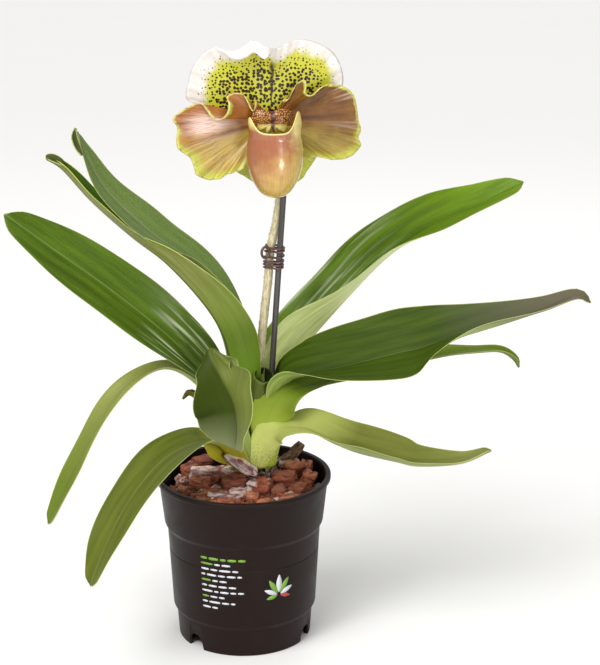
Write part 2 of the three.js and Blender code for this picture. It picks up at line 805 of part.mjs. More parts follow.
// Sepals and petals spread from an arc round the flower's middle to a ruffled margin.
// A margin point is [right, up, forward]; base is [from, to, radius, forward] with compass angles
// in the flower's plane; bulge lifts the middle of each ray forward.
const TEPALS = {
  dorsal_sepal: {
    colour: 0xb9c24a,
    base: [160, 20, 5, -1],
    bulge: -4,
    margin: [
      [-33.7, 6.3, -4],
      [-52.7, 11, -5],
      [-55.1, 17, -4],
      [-53.2, 24.4, -3],
      [-50.6, 33.2, -1],
      [-45.4, 41.7, 1],
      [-38.8, 47.3, 4],
      [-32.3, 47.1, 7],
      [-23.2, 45.2, 10],
      [-14.1, 50.3, 4],
      [-8.8, 49.4, 6],
      [-1, 47.5, 9],
      [6.8, 48.2, 6],
      [13.3, 51.8, 2],
      [19.9, 52.7, 0],
      [25.7, 51.4, 0],
      [34.2, 48.4, 0],
      [40.7, 43.9, -1],
      [45.3, 37.4, -2],
      [47.3, 30.3, -3],
      [46.6, 21.6, -4],
      [40.3, 12, -5],
      [30.3, 6.3, -4],
    ],
  },
  petal_left: {
    colour: 0xa8763a,
    base: [215, 135, 4.4, 2],
    bulge: 3,
    margin: [
      [-7.7, -9.4, 3],
      [-12.9, -21.3, 5],
      [-23.6, -31.9, 8],
      [-33.7, -37, 12],
      [-43.1, -38.1, 9],
      [-49.3, -33, 12],
      [-53, -25.7, 8],
      [-62.2, -15.7, 11],
      [-64.5, -1.7, 7],
      [-64.7, 4.6, 9],
      [-59.3, 9.4, 6],
      [-51.9, 11.6, 6],
      [-46.7, 12.5, 9],
      [-41.5, 13.1, 12],
      [-33.5, 12, 12],
      [-27.8, 12.5, 9],
      [-25.3, 17.6, 6],
      [-19.2, 18.8, 4],
      [-12.3, 12.4, 3],
    ],
  },
  petal_right: {
    colour: 0xa8763a,
    base: [50, -35, 4.4, 2],
    bulge: 3,
    margin: [
      [9.4, 13.9, 4],
      [13.3, 16.7, 5],
      [15.3, 24.6, 5],
      [20.5, 28.2, 7],
      [25.1, 26.9, 11],
      [27.7, 20, 13],
      [33.6, 25.1, 8],
      [46, 22.6, 5],
      [53.8, 19.1, 8],
      [56.4, 10.9, 10],
      [58.4, 2.2, 7],
      [57.7, -6.4, 11],
      [58.4, -13.1, 8],
      [55.1, -20.2, 10],
      [49.2, -24.7, 7],
      [38.8, -24.7, 11],
      [30.3, -22.7, 7],
      [24.4, -25.5, 10],
      [20.3, -19.7, 6],
      [18.3, -9.9, 3],
    ],
  },
  synsepal: {
    colour: 0xa9b83a,
    base: [-40, -140, 5, -1],
    bulge: 0,
    margin: [
      [14.3, -7.3, -2],
      [26.3, -17, -1],
      [30.3, -25.2, 1],
      [24.4, -31.4, 4],
      [19.9, -40, 1],
      [11.3, -44.8, 4],
      [2.3, -47.2, 2],
      [-7.7, -43.8, 4],
      [-15.4, -37.9, 1],
      [-23.2, -32.1, 3],
      [-23.7, -20.6, 1],
      [-12.7, -7.3, -2],
    ],
  },
};

const tepalRays = 24;
const tepalSteps = 4;

function tepalGeometry({ base, margin, bulge }) {
  const [from, to, radius, behind] = base;
  const sheet = [];
  for (let i = 0; i <= tepalSteps; i++) {
    const t = i / tepalSteps;
    const row = [];
    for (let j = 0; j <= tepalRays; j++) {
      const share = j / tepalRays;
      const angle = radians(mix(from, to, share));
      const [right, up, forward] = rowAt(margin, share * (margin.length - 1));
      row.push(
        flowerPoint(
          mix(radius * Math.cos(angle), right, t),
          mix(radius * Math.sin(angle), up, t),
          mix(behind, behind + forward, t ** 2.2) + bulge * 4 * t * (1 - t) * 0.5,
        ),
      );
    }
    sheet.push(row);
  }
  const thicknessAt = (i) => mix(TEPAL_MIDDLE, TEPAL_MARGIN, i / tepalSteps);
  return thickSheet(sheet, thicknessAt);
}

// The pouch, level by level from the toe: [up, half width, forward, half depth].
const POUCH = {
  right: 2.3,
  wall: 1.3,
  rounds: 20,
  levels: [
    [-47.6, 2.4, 20, 2],
    [-46.2, 7, 20, 5.4],
    [-41.5, 12, 20, 9.4],
    [-34, 16, 20, 12.6],
    [-25, 18.3, 19.5, 14.4],
    [-15, 18.3, 19.5, 15],
    [-8, 17, 19, 14.5],
  ],
  rim: 5, // how far the wall goes on above the last level
  ears: 8, // how much higher the two ears stand
};

function pouchRing([up, halfWidth, forward, halfDepth], inset, rimShare) {
  const ring = [];
  for (let k = 0; k < POUCH.rounds; k++) {
    const angle = (2 * Math.PI * k) / POUCH.rounds;
    const ear = Math.max(0, Math.cos(2 * angle)) ** 3;
    const flare = rimShare * ear * 1.5;
    const rise = rimShare * (POUCH.rim + POUCH.ears * ear);
    ring.push(
      flowerPoint(
        POUCH.right + (halfWidth - inset + flare) * Math.cos(angle),
        up + rise,
        forward + (halfDepth - inset) * Math.sin(angle),
      ),
    );
  }
  return ring;
}

function pouchGeometry() {
  const { levels, wall } = POUCH;
  const last = levels[levels.length - 1];
  const outside = levels.map((level) => pouchRing(level, 0, 0));
  const inside = levels.slice(1).map((level) => pouchRing(level, wall, 0));
  const rings = [
    ...outside,
    pouchRing(last, 0.6, 1),
    pouchRing(last, wall + 0.2, 1),
    ...inside.reverse(),
  ];
  const centre = (level, lift) => flowerPoint(POUCH.right, level[0] + lift, level[2]);
  return ringsSolid(rings.map((ring) => ring.reverse()), centre(levels[0], -0.6), centre(levels[1], wall));
}

// Column with the shield-shaped staminode in front of it.
function columnGeometry() {
  const start = FLOWER.y - (FLOWER.knob - FLOWER.knobBehind + GAP);
  const stalk = taperedRod(
    [
      [FLOWER.x, start, FLOWER.z, 3],
      [FLOWER.x + 1, start - 5, FLOWER.z + 1, 3.4],
      [FLOWER.x + 2, start - 10, FLOWER.z + 0.5, 3],
    ],
    8,
    3,
  );
  const shield = new THREE.SphereGeometry(1, 14, 8);
  shield.scale(9, 3, 4).rotateX(radians(-25));
  shield.translate(FLOWER.x + 2, start - 11, FLOWER.z + 1);
  return toGeometry(toSolid(stalk).add(toSolid(shield)));
}

// Green sheath behind the foot of the ovary, with the same columns as a leaf station.
const BRACT = [
  [26.8, 14.2, 313, 90, 0, 6, 0, 78],
  [27.5, 16.2, 322, 90, 0, 7, 0, 70],
  [27.5, 17.5, 333, 90, 0, 6, 0, 60],
  [26.5, 17, 343, 90, 0, 2.5, 0, 40],
];

// ---------------------------------------------------------------- the plant

const plant = new THREE.Group();

function addPiece(name, geometry, colour, roughness = 0.5) {
  const material = new THREE.MeshStandardMaterial({ color: colour, roughness, metalness: 0 });
  const mesh = new THREE.Mesh(geometry, material);
  mesh.name = name;
  plant.add(mesh);
}

addPiece("pot", potGeometry(), 0x2a2321, 0.4);
addPiece("bark_mix", barkGeometry(), 0x8a4a32, 0.9);
addPiece("crown", crownGeometry(), 0x6b5a34, 0.8);
for (const [name, leaf] of Object.entries(LEAVES)) addPiece(name, leafGeometry(leaf), leaf.colour);
addPiece("flower_stem", rod(STEM.route, STEM.radius, 8, 16), 0x8d8646, 0.6);
addPiece("ovary", ovaryGeometry(), 0x6f7a35, 0.6);
addPiece("bract", leafGeometry({ rows: BRACT, steps: 5 }), 0x7d9440, 0.5);
for (const [name, tepal] of Object.entries(TEPALS))
  addPiece(name, tepalGeometry(tepal), tepal.colour, 0.45);
addPiece("pouch", pouchGeometry(), 0xc0795a, 0.3);
addPiece("column", columnGeometry(), 0xd8c84a, 0.4);
addPiece("stake", stakeGeometry(), 0x4a4a4c, 0.5);
addPiece("tie", tieGeometry(), 0x3a2a2a, 0.3);

export default plant;
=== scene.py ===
"""Slipper orchid in bloom in its nursery pot: the looks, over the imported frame.

Sizes are millimetres in the frame's own axes: +Z up, X to the right, and the flower faces -Y.
Meshes are scaled to metres when they are made.
"""

import bisect
import logging
import math
import random
from dataclasses import dataclass, field
from enum import Enum
from functools import partial
from typing import Any, Callable, Iterable, Sequence

import bmesh
import bpy
from mathutils import Matrix, Vector, noise


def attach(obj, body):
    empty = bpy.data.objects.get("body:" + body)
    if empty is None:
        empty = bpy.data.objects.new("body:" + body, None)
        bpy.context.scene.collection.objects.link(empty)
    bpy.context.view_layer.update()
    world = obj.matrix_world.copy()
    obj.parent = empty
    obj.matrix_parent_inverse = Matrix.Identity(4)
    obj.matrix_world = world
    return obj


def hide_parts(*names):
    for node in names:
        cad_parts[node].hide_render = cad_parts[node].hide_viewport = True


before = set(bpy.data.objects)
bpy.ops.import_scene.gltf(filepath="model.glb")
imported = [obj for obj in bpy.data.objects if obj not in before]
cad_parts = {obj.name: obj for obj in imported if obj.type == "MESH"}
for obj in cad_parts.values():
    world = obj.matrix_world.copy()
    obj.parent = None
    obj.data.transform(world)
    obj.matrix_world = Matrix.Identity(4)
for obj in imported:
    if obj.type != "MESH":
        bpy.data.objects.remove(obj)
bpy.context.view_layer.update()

log = logging.getLogger("orchid")

MM = 0.001
GOLDEN_ANGLE = 137.5
FLOWER_CENTRE = (20, -4, 366.5)
EVERY_AXIS = {"use_axis_x": True, "use_axis_y": True, "use_axis_z": True}

Rows = Sequence[Sequence[float]]
Colour = tuple[float, float, float, float]
Profile = list[tuple[float, float]]
Place = tuple[float, float, float]
Inputs = dict[str, Any]
Mesh = bpy.types.Mesh
Socket = bpy.types.NodeSocket
Adder = Callable[..., Any]
Coat = tuple[Socket, Socket | str]


# ---------------------------------------------------------------- numbers and curves


def mix(a: float, b: float, t: float) -> float:
    """Value between a and b at share t."""
    return a + (b - a) * t


def polar(angle: float, radius: float = 1.0) -> tuple[float, float]:
    """Two coordinates of a compass angle in degrees."""
    return radius * math.cos(math.radians(angle)), radius * math.sin(math.radians(angle))


def row_at(rows: Rows, place: float) -> list[float]:
    """Smooth row between rows.

    Args:
        rows: rows of equal length.
        place: from 0 at the first row to len(rows) - 1 at the last.

    Returns:
        The Catmull-Rom value of each column.
    """
    last = len(rows) - 1
    i = min(max(int(place), 0), last - 1)
    t = place - i
    made = []
    for k, value in enumerate(rows[i]):
        after = rows[i + 1][k]
        before = rows[i - 1][k] if i > 0 else 2 * value - after
        later = rows[i + 2][k] if i + 2 <= last else 2 * after - value
        square = 2 * before - 5 * value + 4 * after - later
        cube = 3 * value - before - 3 * after + later
        made.append(0.5 * (2 * value + (after - before) * t + square * t * t + cube * t * t * t))
    return made


class Course:
    """A smooth run through stations, followed by the length of their first three values."""

    def __init__(self, rows: Rows, samples: int = 400) -> None:
        """Measures the run.

        Args:
            rows: stations that start with x, y, z.
            samples: number of pieces that the length is measured in.
        """
        self.rows = rows
        self.last = len(rows) - 1
        self.lengths = [0.0]
        before = Vector(row_at(rows, 0)[:3])
        for i in range(1, samples + 1):
            here = Vector(row_at(rows, self.last * i / samples)[:3])
            self.lengths.append(self.lengths[-1] + (here - before).length)
            before = here
        self.length = self.lengths[-1]

    def place(self, share: float) -> float:
        """Parameter of the rows at a share of the length."""
        wanted = self.length * min(max(share, 0.0), 1.0)
        samples = len(self.lengths) - 1
        k = min(max(bisect.bisect_left(self.lengths, wanted) - 1, 0), samples - 1)
        span = self.lengths[k + 1] - self.lengths[k]
        part = (wanted - self.lengths[k]) / span if span > 0 else 0.0
        return self.last * (k + min(part, 1.0)) / samples

    def at(self, share: float) -> list[float]:
        """All values at a share of the length."""
        return row_at(self.rows, self.place(share))

    def tangent(self, share: float) -> Vector:
        """Direction of the run at a share of the length."""
        place = self.place(share)
        step = 0.01
        ahead = Vector(row_at(self.rows, min(place + step, self.last))[:3])
        behind = Vector(row_at(self.rows, max(place - step, 0))[:3])
        return (ahead - behind).normalized()


def filleted(corners: Profile, radius: float, steps: int = 4, most: float = 0.45) -> Profile:
    """Rounds the inner corners of an open outline.

    Args:
        corners: the outline's points.
        radius: how far before and after each corner the rounding starts.
        steps: number of edges in each rounding.
        most: the share of an edge that a rounding may take.

    Returns:
        The outline with each corner turned into a short curve.
    """
    made = [corners[0]]
    for a, b, c in zip(corners, corners[1:], corners[2:]):
        before, corner, after = Vector(a), Vector(b), Vector(c)
        reach = min(radius, (before - corner).length * most, (after - corner).length * most)
        start = corner + (before - corner).normalized() * reach
        end = corner + (after - corner).normalized() * reach
        for k in range(steps + 1):
            t = k / steps
            point = start * (1 - t) ** 2 + corner * 2 * t * (1 - t) + end * t * t
            made.append((point.x, point.y))
    made.append(corners[-1])
    return made


# ---------------------------------------------------------------- meshes


def new_mesh(name: str, points: Iterable[Vector], faces: Iterable[Sequence[int]]) -> Mesh:
    """A smooth-shaded mesh in metres.

    Args:
        name: name of the mesh.
        points: its vertices in millimetres.
        faces: vertex numbers of each face.

    Returns:
        The mesh.
    """
    mesh = bpy.data.meshes.new(name)
    mesh.from_pydata([tuple(point * MM) for point in points], [], [tuple(face) for face in faces])
    mesh.validate()
    mesh.shade_smooth()
    return mesh


def mark(mesh: Mesh, name: str, values: Sequence[Vector]) -> None:
    """Gives each vertex a vector that a finish reads by name."""
    layer = mesh.attributes.new(name, "FLOAT_VECTOR", "POINT")
    layer.data.foreach_set("vector", [part for value in values for part in value])


def placed(name: str, data: Any) -> bpy.types.Object:
    """A new object in the scene, with its mesh, camera or light."""
    made = bpy.data.objects.new(name, data)
    bpy.context.scene.collection.objects.link(made)
    return made


def add_piece(name: str, mesh: Mesh, finish: bpy.types.Material, node: str) -> None:
    """Puts a finished piece in the scene, on the plant's one body.

    Args:
        name: name of the piece.
        mesh: its mesh, in metres.
        finish: its material.
        node: the solid that it stands for.
    """
    piece = placed(name, mesh)
    mesh.materials.clear()
    mesh.materials.append(finish)
    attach(piece, "root")
    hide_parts(node)
    log.info("%s: %d faces for %s", name, len(mesh.polygons), node)


@dataclass
class Skin:
    """A grid of points that becomes a thin closed body with marks for its finish.

    The first face lies on the side of rows cross columns.
    """

    points: list[list[Vector]]
    thickness: Callable[[int, int], float]
    marks: dict[str, list[list[Vector]]] = field(default_factory=dict)
    first_side: float = 1.0
    pinched: float = 0.004

    def normal(self, i: int, j: int) -> Vector:
        """Direction of the first face at a grid point, or of the last row that isn't pinched."""
        rows, columns = len(self.points), len(self.points[0])
        along = self.points[min(i + 1, rows - 1)][j] - self.points[max(i - 1, 0)][j]
        across = self.points[i][min(j + 1, columns - 1)] - self.points[i][max(j - 1, 0)]
        if along.length < self.pinched and i > 0:
            return self.normal(i - 1, j)
        return along.cross(across).normalized()

    def mesh(self, name: str) -> Mesh:
        """Makes the two faces and the strip round them.

        Args:
            name: name of the mesh.

        Returns:
            The mesh with its marks, and with the mark "side", whose x is 1 on the front face.
        """
        rows, columns = len(self.points), len(self.points[0])
        offsets = [
            [self.normal(i, j) * (self.thickness(i, j) / 2) for j in range(columns)]
            for i in range(rows)
        ]
        points = []
        for sign in (1, -1):
            for line, shifts in zip(self.points, offsets):
                points += [point + shift * sign for point, shift in zip(line, shifts)]
        size = rows * columns
        faces = []
        for i in range(rows - 1):
            for j in range(columns - 1):
                a = i * columns + j
                quad = (a, a + columns, a + columns + 1, a + 1)
                faces.append(quad)
                faces.append([size + corner for corner in reversed(quad)])
        rim = list(range(columns))
        rim += [i * columns + columns - 1 for i in range(1, rows)]
        rim += [(rows - 1) * columns + j for j in range(columns - 2, -1, -1)]
        rim += [i * columns for i in range(rows - 2, 0, -1)]
        for a, b in zip(rim, rim[1:] + rim[:1]):
            faces.append((a, b, size + b, size + a))
        mesh = new_mesh(name, points, faces)
        for key, grid in self.marks.items():
            mark(mesh, key, [value for line in grid for value in line] * 2)
        front, back = Vector((self.first_side, 0, 0)), Vector((-self.first_side, 0, 0))
        mark(mesh, "side", [front] * size + [back] * size)
        return mesh


@dataclass
class Loft:
    """A body through closed rings of points, capped at both ends."""

    rings: list[list[Vector]]
    marks: dict[str, list[list[Vector]]] = field(default_factory=dict)

    def mesh(self, name: str) -> Mesh:
        """Makes the mesh.

        Args:
            name: name of the mesh.

        Returns:
            The mesh with its marks.
        """
        count = len(self.rings[0])
        points = [point for ring in self.rings for point in ring]
        faces = []
        for i in range(len(self.rings) - 1):
            for j in range(count):
                a, b = i * count + j, i * count + (j + 1) % count
                faces.append((a, b, b + count, a + count))
        faces.append(list(range(count))[::-1])
        faces.append([len(points) - count + j for j in range(count)])
        mesh = new_mesh(name, points, faces)
        for key, grid in self.marks.items():
            mark(mesh, key, [value for line in grid for value in line])
        return mesh


def tube(
    stations: Rows,
    sides: int,
    steps: int,
    swell: Callable[[float, float], float] | None = None,
) -> Loft:
    """A round body along stations.

    Args:
        stations: rows of x, y, z, radius.
        sides: points round it.
        steps: rings along it.
        swell: factor on the radius from the angle in radians and the share of the length.

    Returns:
        The body, with the mark "bark" as place round it, along it and out of it in millimetres.
    """
    course = Course(stations)
    rings, marks = [], []
    side = Vector((1, 0, 0))
    for i in range(steps + 1):
        share = i / steps
        x, y, z, radius = course.at(share)
        tangent = course.tangent(share)
        side = (side - tangent * side.dot(tangent)).normalized()
        up = tangent.cross(side)
        ring, words = [], []
        for k in range(sides):
            angle = 2 * math.pi * k / sides
            reach = radius * (swell(angle, share) if swell else 1.0)
            out = side * reach * math.cos(angle) + up * reach * math.sin(angle)
            ring.append(Vector((x, y, z)) + out)
            words.append(Vector((angle * radius, share * course.length, reach)))
        rings.append(ring)
        marks.append(words)
    return Loft(rings, {"bark": marks})


def joined(name: str, meshes: Sequence[Mesh]) -> Mesh:
    """One mesh from several that carry the same marks."""
    work = bmesh.new()
    for mesh in meshes:
        work.from_mesh(mesh)
    made = bpy.data.meshes.new(name)
    work.to_mesh(made)
    work.free()
    made.shade_smooth()
    return made


# ---------------------------------------------------------------- finishes


def linear(code: str) -> Colour:
    """Linear colour of an sRGB hex value."""
    parts = [int(code[k : k + 2], 16) / 255 for k in (0, 2, 4)]
    red, green, blue = (p / 12.92 if p <= 0.04045 else ((p + 0.055) / 1.055) ** 2.4 for p in parts)
    return red, green, blue, 1.0


def add_node(
    tree: bpy.types.NodeTree, kind: str, *values: Any, out: int | str | None = 0, **settings: Any
) -> Any:
    """Adds a node with its settings and links.

    Args:
        tree: the tree that it goes in.
        kind: its type, without the leading word ShaderNode.
        values: what its inputs get, in their order: a socket, a value, a hex colour, or None.
        out: the output that is wanted, or None for all of them.
        settings: inputs by name, with a capital and with _ for a space, and the node's properties.

    Returns:
        The output, or all of them.
    """
    node = tree.nodes.new("ShaderNode" + kind)
    inputs: dict[int | str, Any] = dict(enumerate(values))
    for name, value in settings.items():
        if name[0].isupper():
            inputs[name.replace("_", " ")] = value
        else:
            setattr(node, name, value)
    for key, value in inputs.items():
        if isinstance(value, Socket):
            tree.links.new(value, node.inputs[key])
        elif value is not None:
            node.inputs[key].default_value = linear(value) if isinstance(value, str) else value
    return node.outputs if out is None else node.outputs[out]


def layered(add: Adder, ground: Socket | str, *coats: Coat) -> Socket:
    """Coats of colour, each over the ones before it.

    Args:
        add: adds a node to the material.
        ground: the first colour.
        coats: for each coat, its share from 0 to 1 and its colour.

    Returns:
        The colour on top.
    """
    for share, colour in coats:
        unused = [None] * 5
        ground = add("Mix", share, *unused, ground, colour, data_type="RGBA", out=2)
    return ground


def drawn(
    add: Adder, place: Socket, width: float, length: float, detail: float, rough: float = 0.5
) -> Socket:
    """Noise in streaks, as plant fibres lie.

    Args:
        add: adds a node to the material.
        place: millimetres across and along.
        width: size of a streak across, in millimetres.
        length: size of a streak along, in millimetres.
        detail: octaves of finer streaks.
        rough: strength of each octave against the one before.

    Returns:
        The noise, about 0.5.
    """
    scaled = add("VectorMath", place, (1 / width, 1 / length, 0.0), operation="MULTIPLY")
    return add("TexNoise", scaled, Scale=1.0, Detail=detail, Roughness=rough)


SOFT = {"interpolation_type": "SMOOTHSTEP"}
EDGES = {"feature": "DISTANCE_TO_EDGE"}


@dataclass(frozen=True)
class Finish:
    """A surface: its subclasses say what goes into the shader."""

    name: str

    def surface(self, add: Adder) -> Inputs:
        """Inputs of the shader, as sockets or values."""
        raise NotImplementedError

    def build(self) -> bpy.types.Material:
        """The material with its nodes."""
        material = bpy.data.materials.new(self.name)
        material.use_nodes = True
        tree = material.node_tree
        tree.nodes.clear()
        add = partial(add_node, tree)
        shader = add("BsdfPrincipled", **self.surface(add))
        tree.links.new(shader, tree.nodes.new("ShaderNodeOutputMaterial").inputs[0])
        return material


@dataclass(frozen=True)
class LeafTissue(Finish):
    """Living leaf under a waxy cuticle, grown with parallel veins.

    A grey-green sheen is painted into the colour as a fine sparkle of cells, pale streaks of
    painted highlight lie along part of the blade, and one half may be painted in shade. The
    sheathing base is yellow-green with purple freckles.
    """

    upper: str = "4a6b10"
    shade: str = "344d04"
    # Colour of the painted grey-green sheen, also used for the pale midrib.
    painted_sheen_and_midrib: str = "738a44"
    under: str = "a9bb68"
    under_shade: str = "8a9c4c"
    base: str = "a8b84a"
    margin: str = "c6ca80"
    # Colour of a dark line along the midrib on the underside.
    keel_line: str = "3c4a12"
    # Colour of the painted highlight streaks.
    highlight_colour: str = "dfe6c6"
    purple: str = "5b3346"
    # Share of painted sheen in the cell sparkle.
    painted_sheen_strength: float = 0.25
    rim_strength: float = 0.6
    base_from: float = 30.0
    base_to: float = 95.0
    midrib: float = 0.4
    keel_line_strength: float = 0.0
    grain: float = 0.55
    freckle: float = 1.5
    freckled: tuple[float, float] = (10.0, 26.0)
    # Strength, start and end along the blade of the painted highlight streaks.
    painted_highlight: Place = (0.0, 60.0, 130.0)
    # Shares of painted shade on one half of the blade and of painted sheen on the other half.
    halves: tuple[float, float] = (0.0, 0.0)
    roughness: float = 0.36
    shine: float = 0.18

    def surface(self, add: Adder) -> Inputs:
        """Green blade with veins, midrib, pale margin, freckled base, and painted sheen and shade."""
        blade = add("Attribute", attribute_name="blade", out="Vector")
        across, along, edge = add("SeparateXYZ", blade, out=None)
        side = add("Attribute", attribute_name="side", out="Vector")
        below = add("MapRange", add("SeparateXYZ", side), -0.2, 0.2, 1.0, 0.0)
        # Veins stand about 4.5 mm apart, and fibres under 1 mm.
        veins = add("MapRange", drawn(add, blade, 4.545, 55.56, 4.0), 0.34, 0.66)
        fibres = drawn(add, blade, 0.909, 50.0, 3.0)
        cells = add("TexNoise", blade, Scale=1 / self.grain, Detail=2.0, Roughness=0.7)
        # Painted sheen: the grey-green sheen colour sprinkled over the blade by the cell noise.
        painted_sparkle = add("MapRange", cells, 0.4, 0.7, 0.0, self.painted_sheen_strength)
        upper = layered(add, self.shade, (veins, self.upper), (painted_sparkle, self.painted_sheen_and_midrib))
        # Painted highlight: pale streaks along part of the blade.
        if self.painted_highlight[0] > 0:
            upper = layered(add, upper, (self.painted_highlight_streaks(add, blade, across, along), self.highlight_colour))
        # Painted shade on the half where across is negative, and painted sheen on the other half.
        if any(self.halves):
            left = add("MapRange", across, -2.0, 2.0, self.halves[0], 0.0)
            right = add("MapRange", across, -2.0, 2.0, 0.0, self.halves[1])
            upper = layered(add, upper, (left, self.shade), (right, self.painted_sheen_and_midrib))
        fibre = add("MapRange", fibres, 0.5, 0.75, 0.0, 0.4)
        young = add("MapRange", along, self.base_from, self.base_to, 1.0, 0.0)
        grown = add("Math", 1.0, young, operation="SUBTRACT")
        middle = add("Math", across, operation="ABSOLUTE")
        rib = add("MapRange", middle, 0.3, 1.1, self.midrib, 0.0)
        # A dark line along the midrib on the underside.
        fold = add("MapRange", middle, 0.2, 0.9, self.keel_line_strength, 0.0)
        rim = add("MapRange", edge, 0.15, 0.6, self.rim_strength, 0.0)
        dots = add("TexVoronoi", blade, Scale=1 / self.freckle)
        dot = add("MapRange", dots, 0.2, 0.36, 0.8, 0.0)
        low = add("MapRange", along, *self.freckled, 1.0, 0.0)
        colour = layered(
            add,
            upper,
            (below, layered(add, self.under_shade, (veins, self.under))),
            (fibre, self.shade),
            (young, self.base),
            # Pale midrib, in the colour of the painted sheen.
            (add("Math", rib, grown, operation="MULTIPLY"), self.painted_sheen_and_midrib),
            (add("Math", fold, below, operation="MULTIPLY"), self.keel_line),
            (rim, self.margin),
            (add("Math", dot, low, operation="MULTIPLY"), self.purple),
        )
        gloss = add("MapRange", cells, 0.3, 0.75, self.roughness - 0.08, self.roughness + 0.16)
        relief = add("Math", cells, fibres, operation="ADD")
        bump = add("Bump", Strength=0.3, Distance=0.14 * MM, Height=relief)
        more = dict(IOR=1.4, Specular_IOR_Level=self.shine)
        return dict(Base_Color=colour, Roughness=gloss, Normal=bump, **more)

    def painted_highlight_streaks(self, add: Adder, blade: Socket, across: Socket, along: Socket) -> Socket:
        """Share of painted highlight, in long pale streaks between two places along the leaf.

        Args:
            add: adds a node to the material.
            blade: place on the leaf in millimetres.
            across: distance from the midrib, by side.
            along: distance from the foot.

        Returns:
            0 on bare leaf to the strength of the painted highlight.
        """
        strength, start, end = self.painted_highlight
        reach = end - start
        line = add("MapRange", drawn(add, blade, 3.333, 83.33, 5.0), 0.5, 0.68, 0.0, strength)
        away = add("Math", along, (start + end) / 2, operation="SUBTRACT")
        far = add("Math", away, operation="ABSOLUTE")
        zone = add("MapRange", far, 0.1 * reach, 0.5 * reach, 1.0, 0.0, **SOFT)
        share = add("Math", line, zone, operation="MULTIPLY")
        off_rib = add("MapRange", add("Math", across, operation="ABSOLUTE"), 1.0, 3.0)
        return add("Math", share, off_rib, operation="MULTIPLY")


class FlowerTissue(Finish):
    """Thick, living flesh of a flower, which lets a little light through."""

    def marks(self, add: Adder) -> tuple[Socket, Socket, Socket, Socket]:
        """Angle from the middle in degrees, reach and distance to the margin, and the flat place."""
        ray = add("Attribute", attribute_name="ray", out="Vector")
        flat = add("Attribute", attribute_name="flat", out="Vector")
        return (*add("SeparateXYZ", ray, out=None), flat)

    def flesh(self, weight: float, depths: Place) -> Inputs:
        """The shader's inputs for the light that goes into it, to depths in metres."""
        return dict(Subsurface_Weight=weight, Subsurface_Radius=depths, Subsurface_Scale=0.3)


@dataclass(frozen=True)
class SepalTissue(FlowerTissue):
    """Waxy sepal, grown thick: a soft satin that lets a little light through.

    The eye sees a lime centre in a broad white margin, with dark spots in loose rows.
    """

    lime: str = "b9c42c"
    gold: str = "c9bd36"
    white: str = "e9e5de"
    blush: str = "d9cdca"
    spot: str = "2c0d06"
    pitch: float = 2.45
    cloud: float = 6.25
    white_from: float = 13.0
    white_to: float = 6.0
    rib_angle: float = -2.0
    spotted: bool = True

    def surface(self, add: Adder) -> Inputs:
        """Lime to white by distance from the margin, with the spots over it."""
        angle, _, edge, flat = self.marks(add)
        cloud = add("TexNoise", flat, Scale=1 / self.cloud, Detail=3.0)
        warped = add("Math", cloud, 9.0, -4.5, operation="MULTIPLY_ADD")
        leaning = add("Math", angle, -0.04, warped, operation="MULTIPLY_ADD")
        inside = add("Math", edge, leaning, operation="ADD")
        pale = add("MapRange", inside, self.white_from, self.white_to, 0.0, 1.0, **SOFT)
        whites = layered(add, self.white, (cloud, self.blush))
        colour = layered(add, self.lime, (cloud, self.gold), (pale, whites))
        if self.spotted:
            dots, streak = self.spots(add, flat, edge, cloud), self.midrib(add, angle, edge, cloud)
            colour = layered(add, colour, (dots, self.spot), (streak, self.spot))
        bump = add("Bump", Strength=0.2, Distance=0.3 * MM, Height=cloud)
        flesh = self.flesh(0.12, (0.004, 0.003, 0.0015))
        return dict(Base_Color=colour, Roughness=0.42, Normal=bump, IOR=1.42, **flesh)

    def spots(self, add: Adder, flat: Socket, edge: Socket, cloud: Socket) -> Socket:
        """Ragged spots that grow towards the middle.

        Args:
            add: adds a node to the material.
            flat: place on the sepal in millimetres.
            edge: distance to the margin in millimetres.
            cloud: slow noise.

        Returns:
            1 in a spot and 0 beside it.
        """
        cell = add("VectorMath", flat, (1 / self.pitch, 1 / self.pitch, 0.0), operation="MULTIPLY")
        near = add("TexVoronoi", cell, Scale=1.0, Randomness=0.8, voronoi_dimensions="2D", out=None)
        ragged = add("TexNoise", cell, Scale=1.7, Detail=2.0)
        reach_in = add("Math", cloud, 8.0, edge, operation="MULTIPLY_ADD")
        size = add("MapRange", reach_in, 8.0, 28.0, -0.05, 0.39)
        loose = add("Math", ragged, 0.5, size, operation="MULTIPLY_ADD")
        chance = add("SeparateXYZ", near["Color"])
        odd = add("Math", chance, 0.16, loose, operation="MULTIPLY_ADD")
        limit = add("Math", odd, 0.34, operation="SUBTRACT")
        soft = add("Math", limit, 0.08, operation="ADD")
        dot = add("MapRange", near["Distance"], limit, soft, 1.0, 0.0)
        there = add("Math", limit, 0.03, operation="GREATER_THAN")
        return add("Math", dot, there, operation="MULTIPLY")

    def midrib(self, add: Adder, angle: Socket, edge: Socket, cloud: Socket) -> Socket:
        """The dark, wavering line down the middle.

        Args:
            add: adds a node to the material.
            angle: angle from the sepal's middle in degrees.
            edge: distance to the margin in millimetres.
            cloud: slow noise.

        Returns:
            0.9 on the line and 0 beside it.
        """
        off = add("Math", angle, self.rib_angle, operation="SUBTRACT")
        wavy = add("Math", cloud, 10.0, -5.0, operation="MULTIPLY_ADD")
        away = add("Math", add("Math", off, wavy, operation="ADD"), operation="ABSOLUTE")
        rib = add("MapRange", away, 1.0, 3.6, 0.9, 0.0)
        within = add("MapRange", edge, 9.0, 13.0)
        return add("Math", rib, within, operation="MULTIPLY")


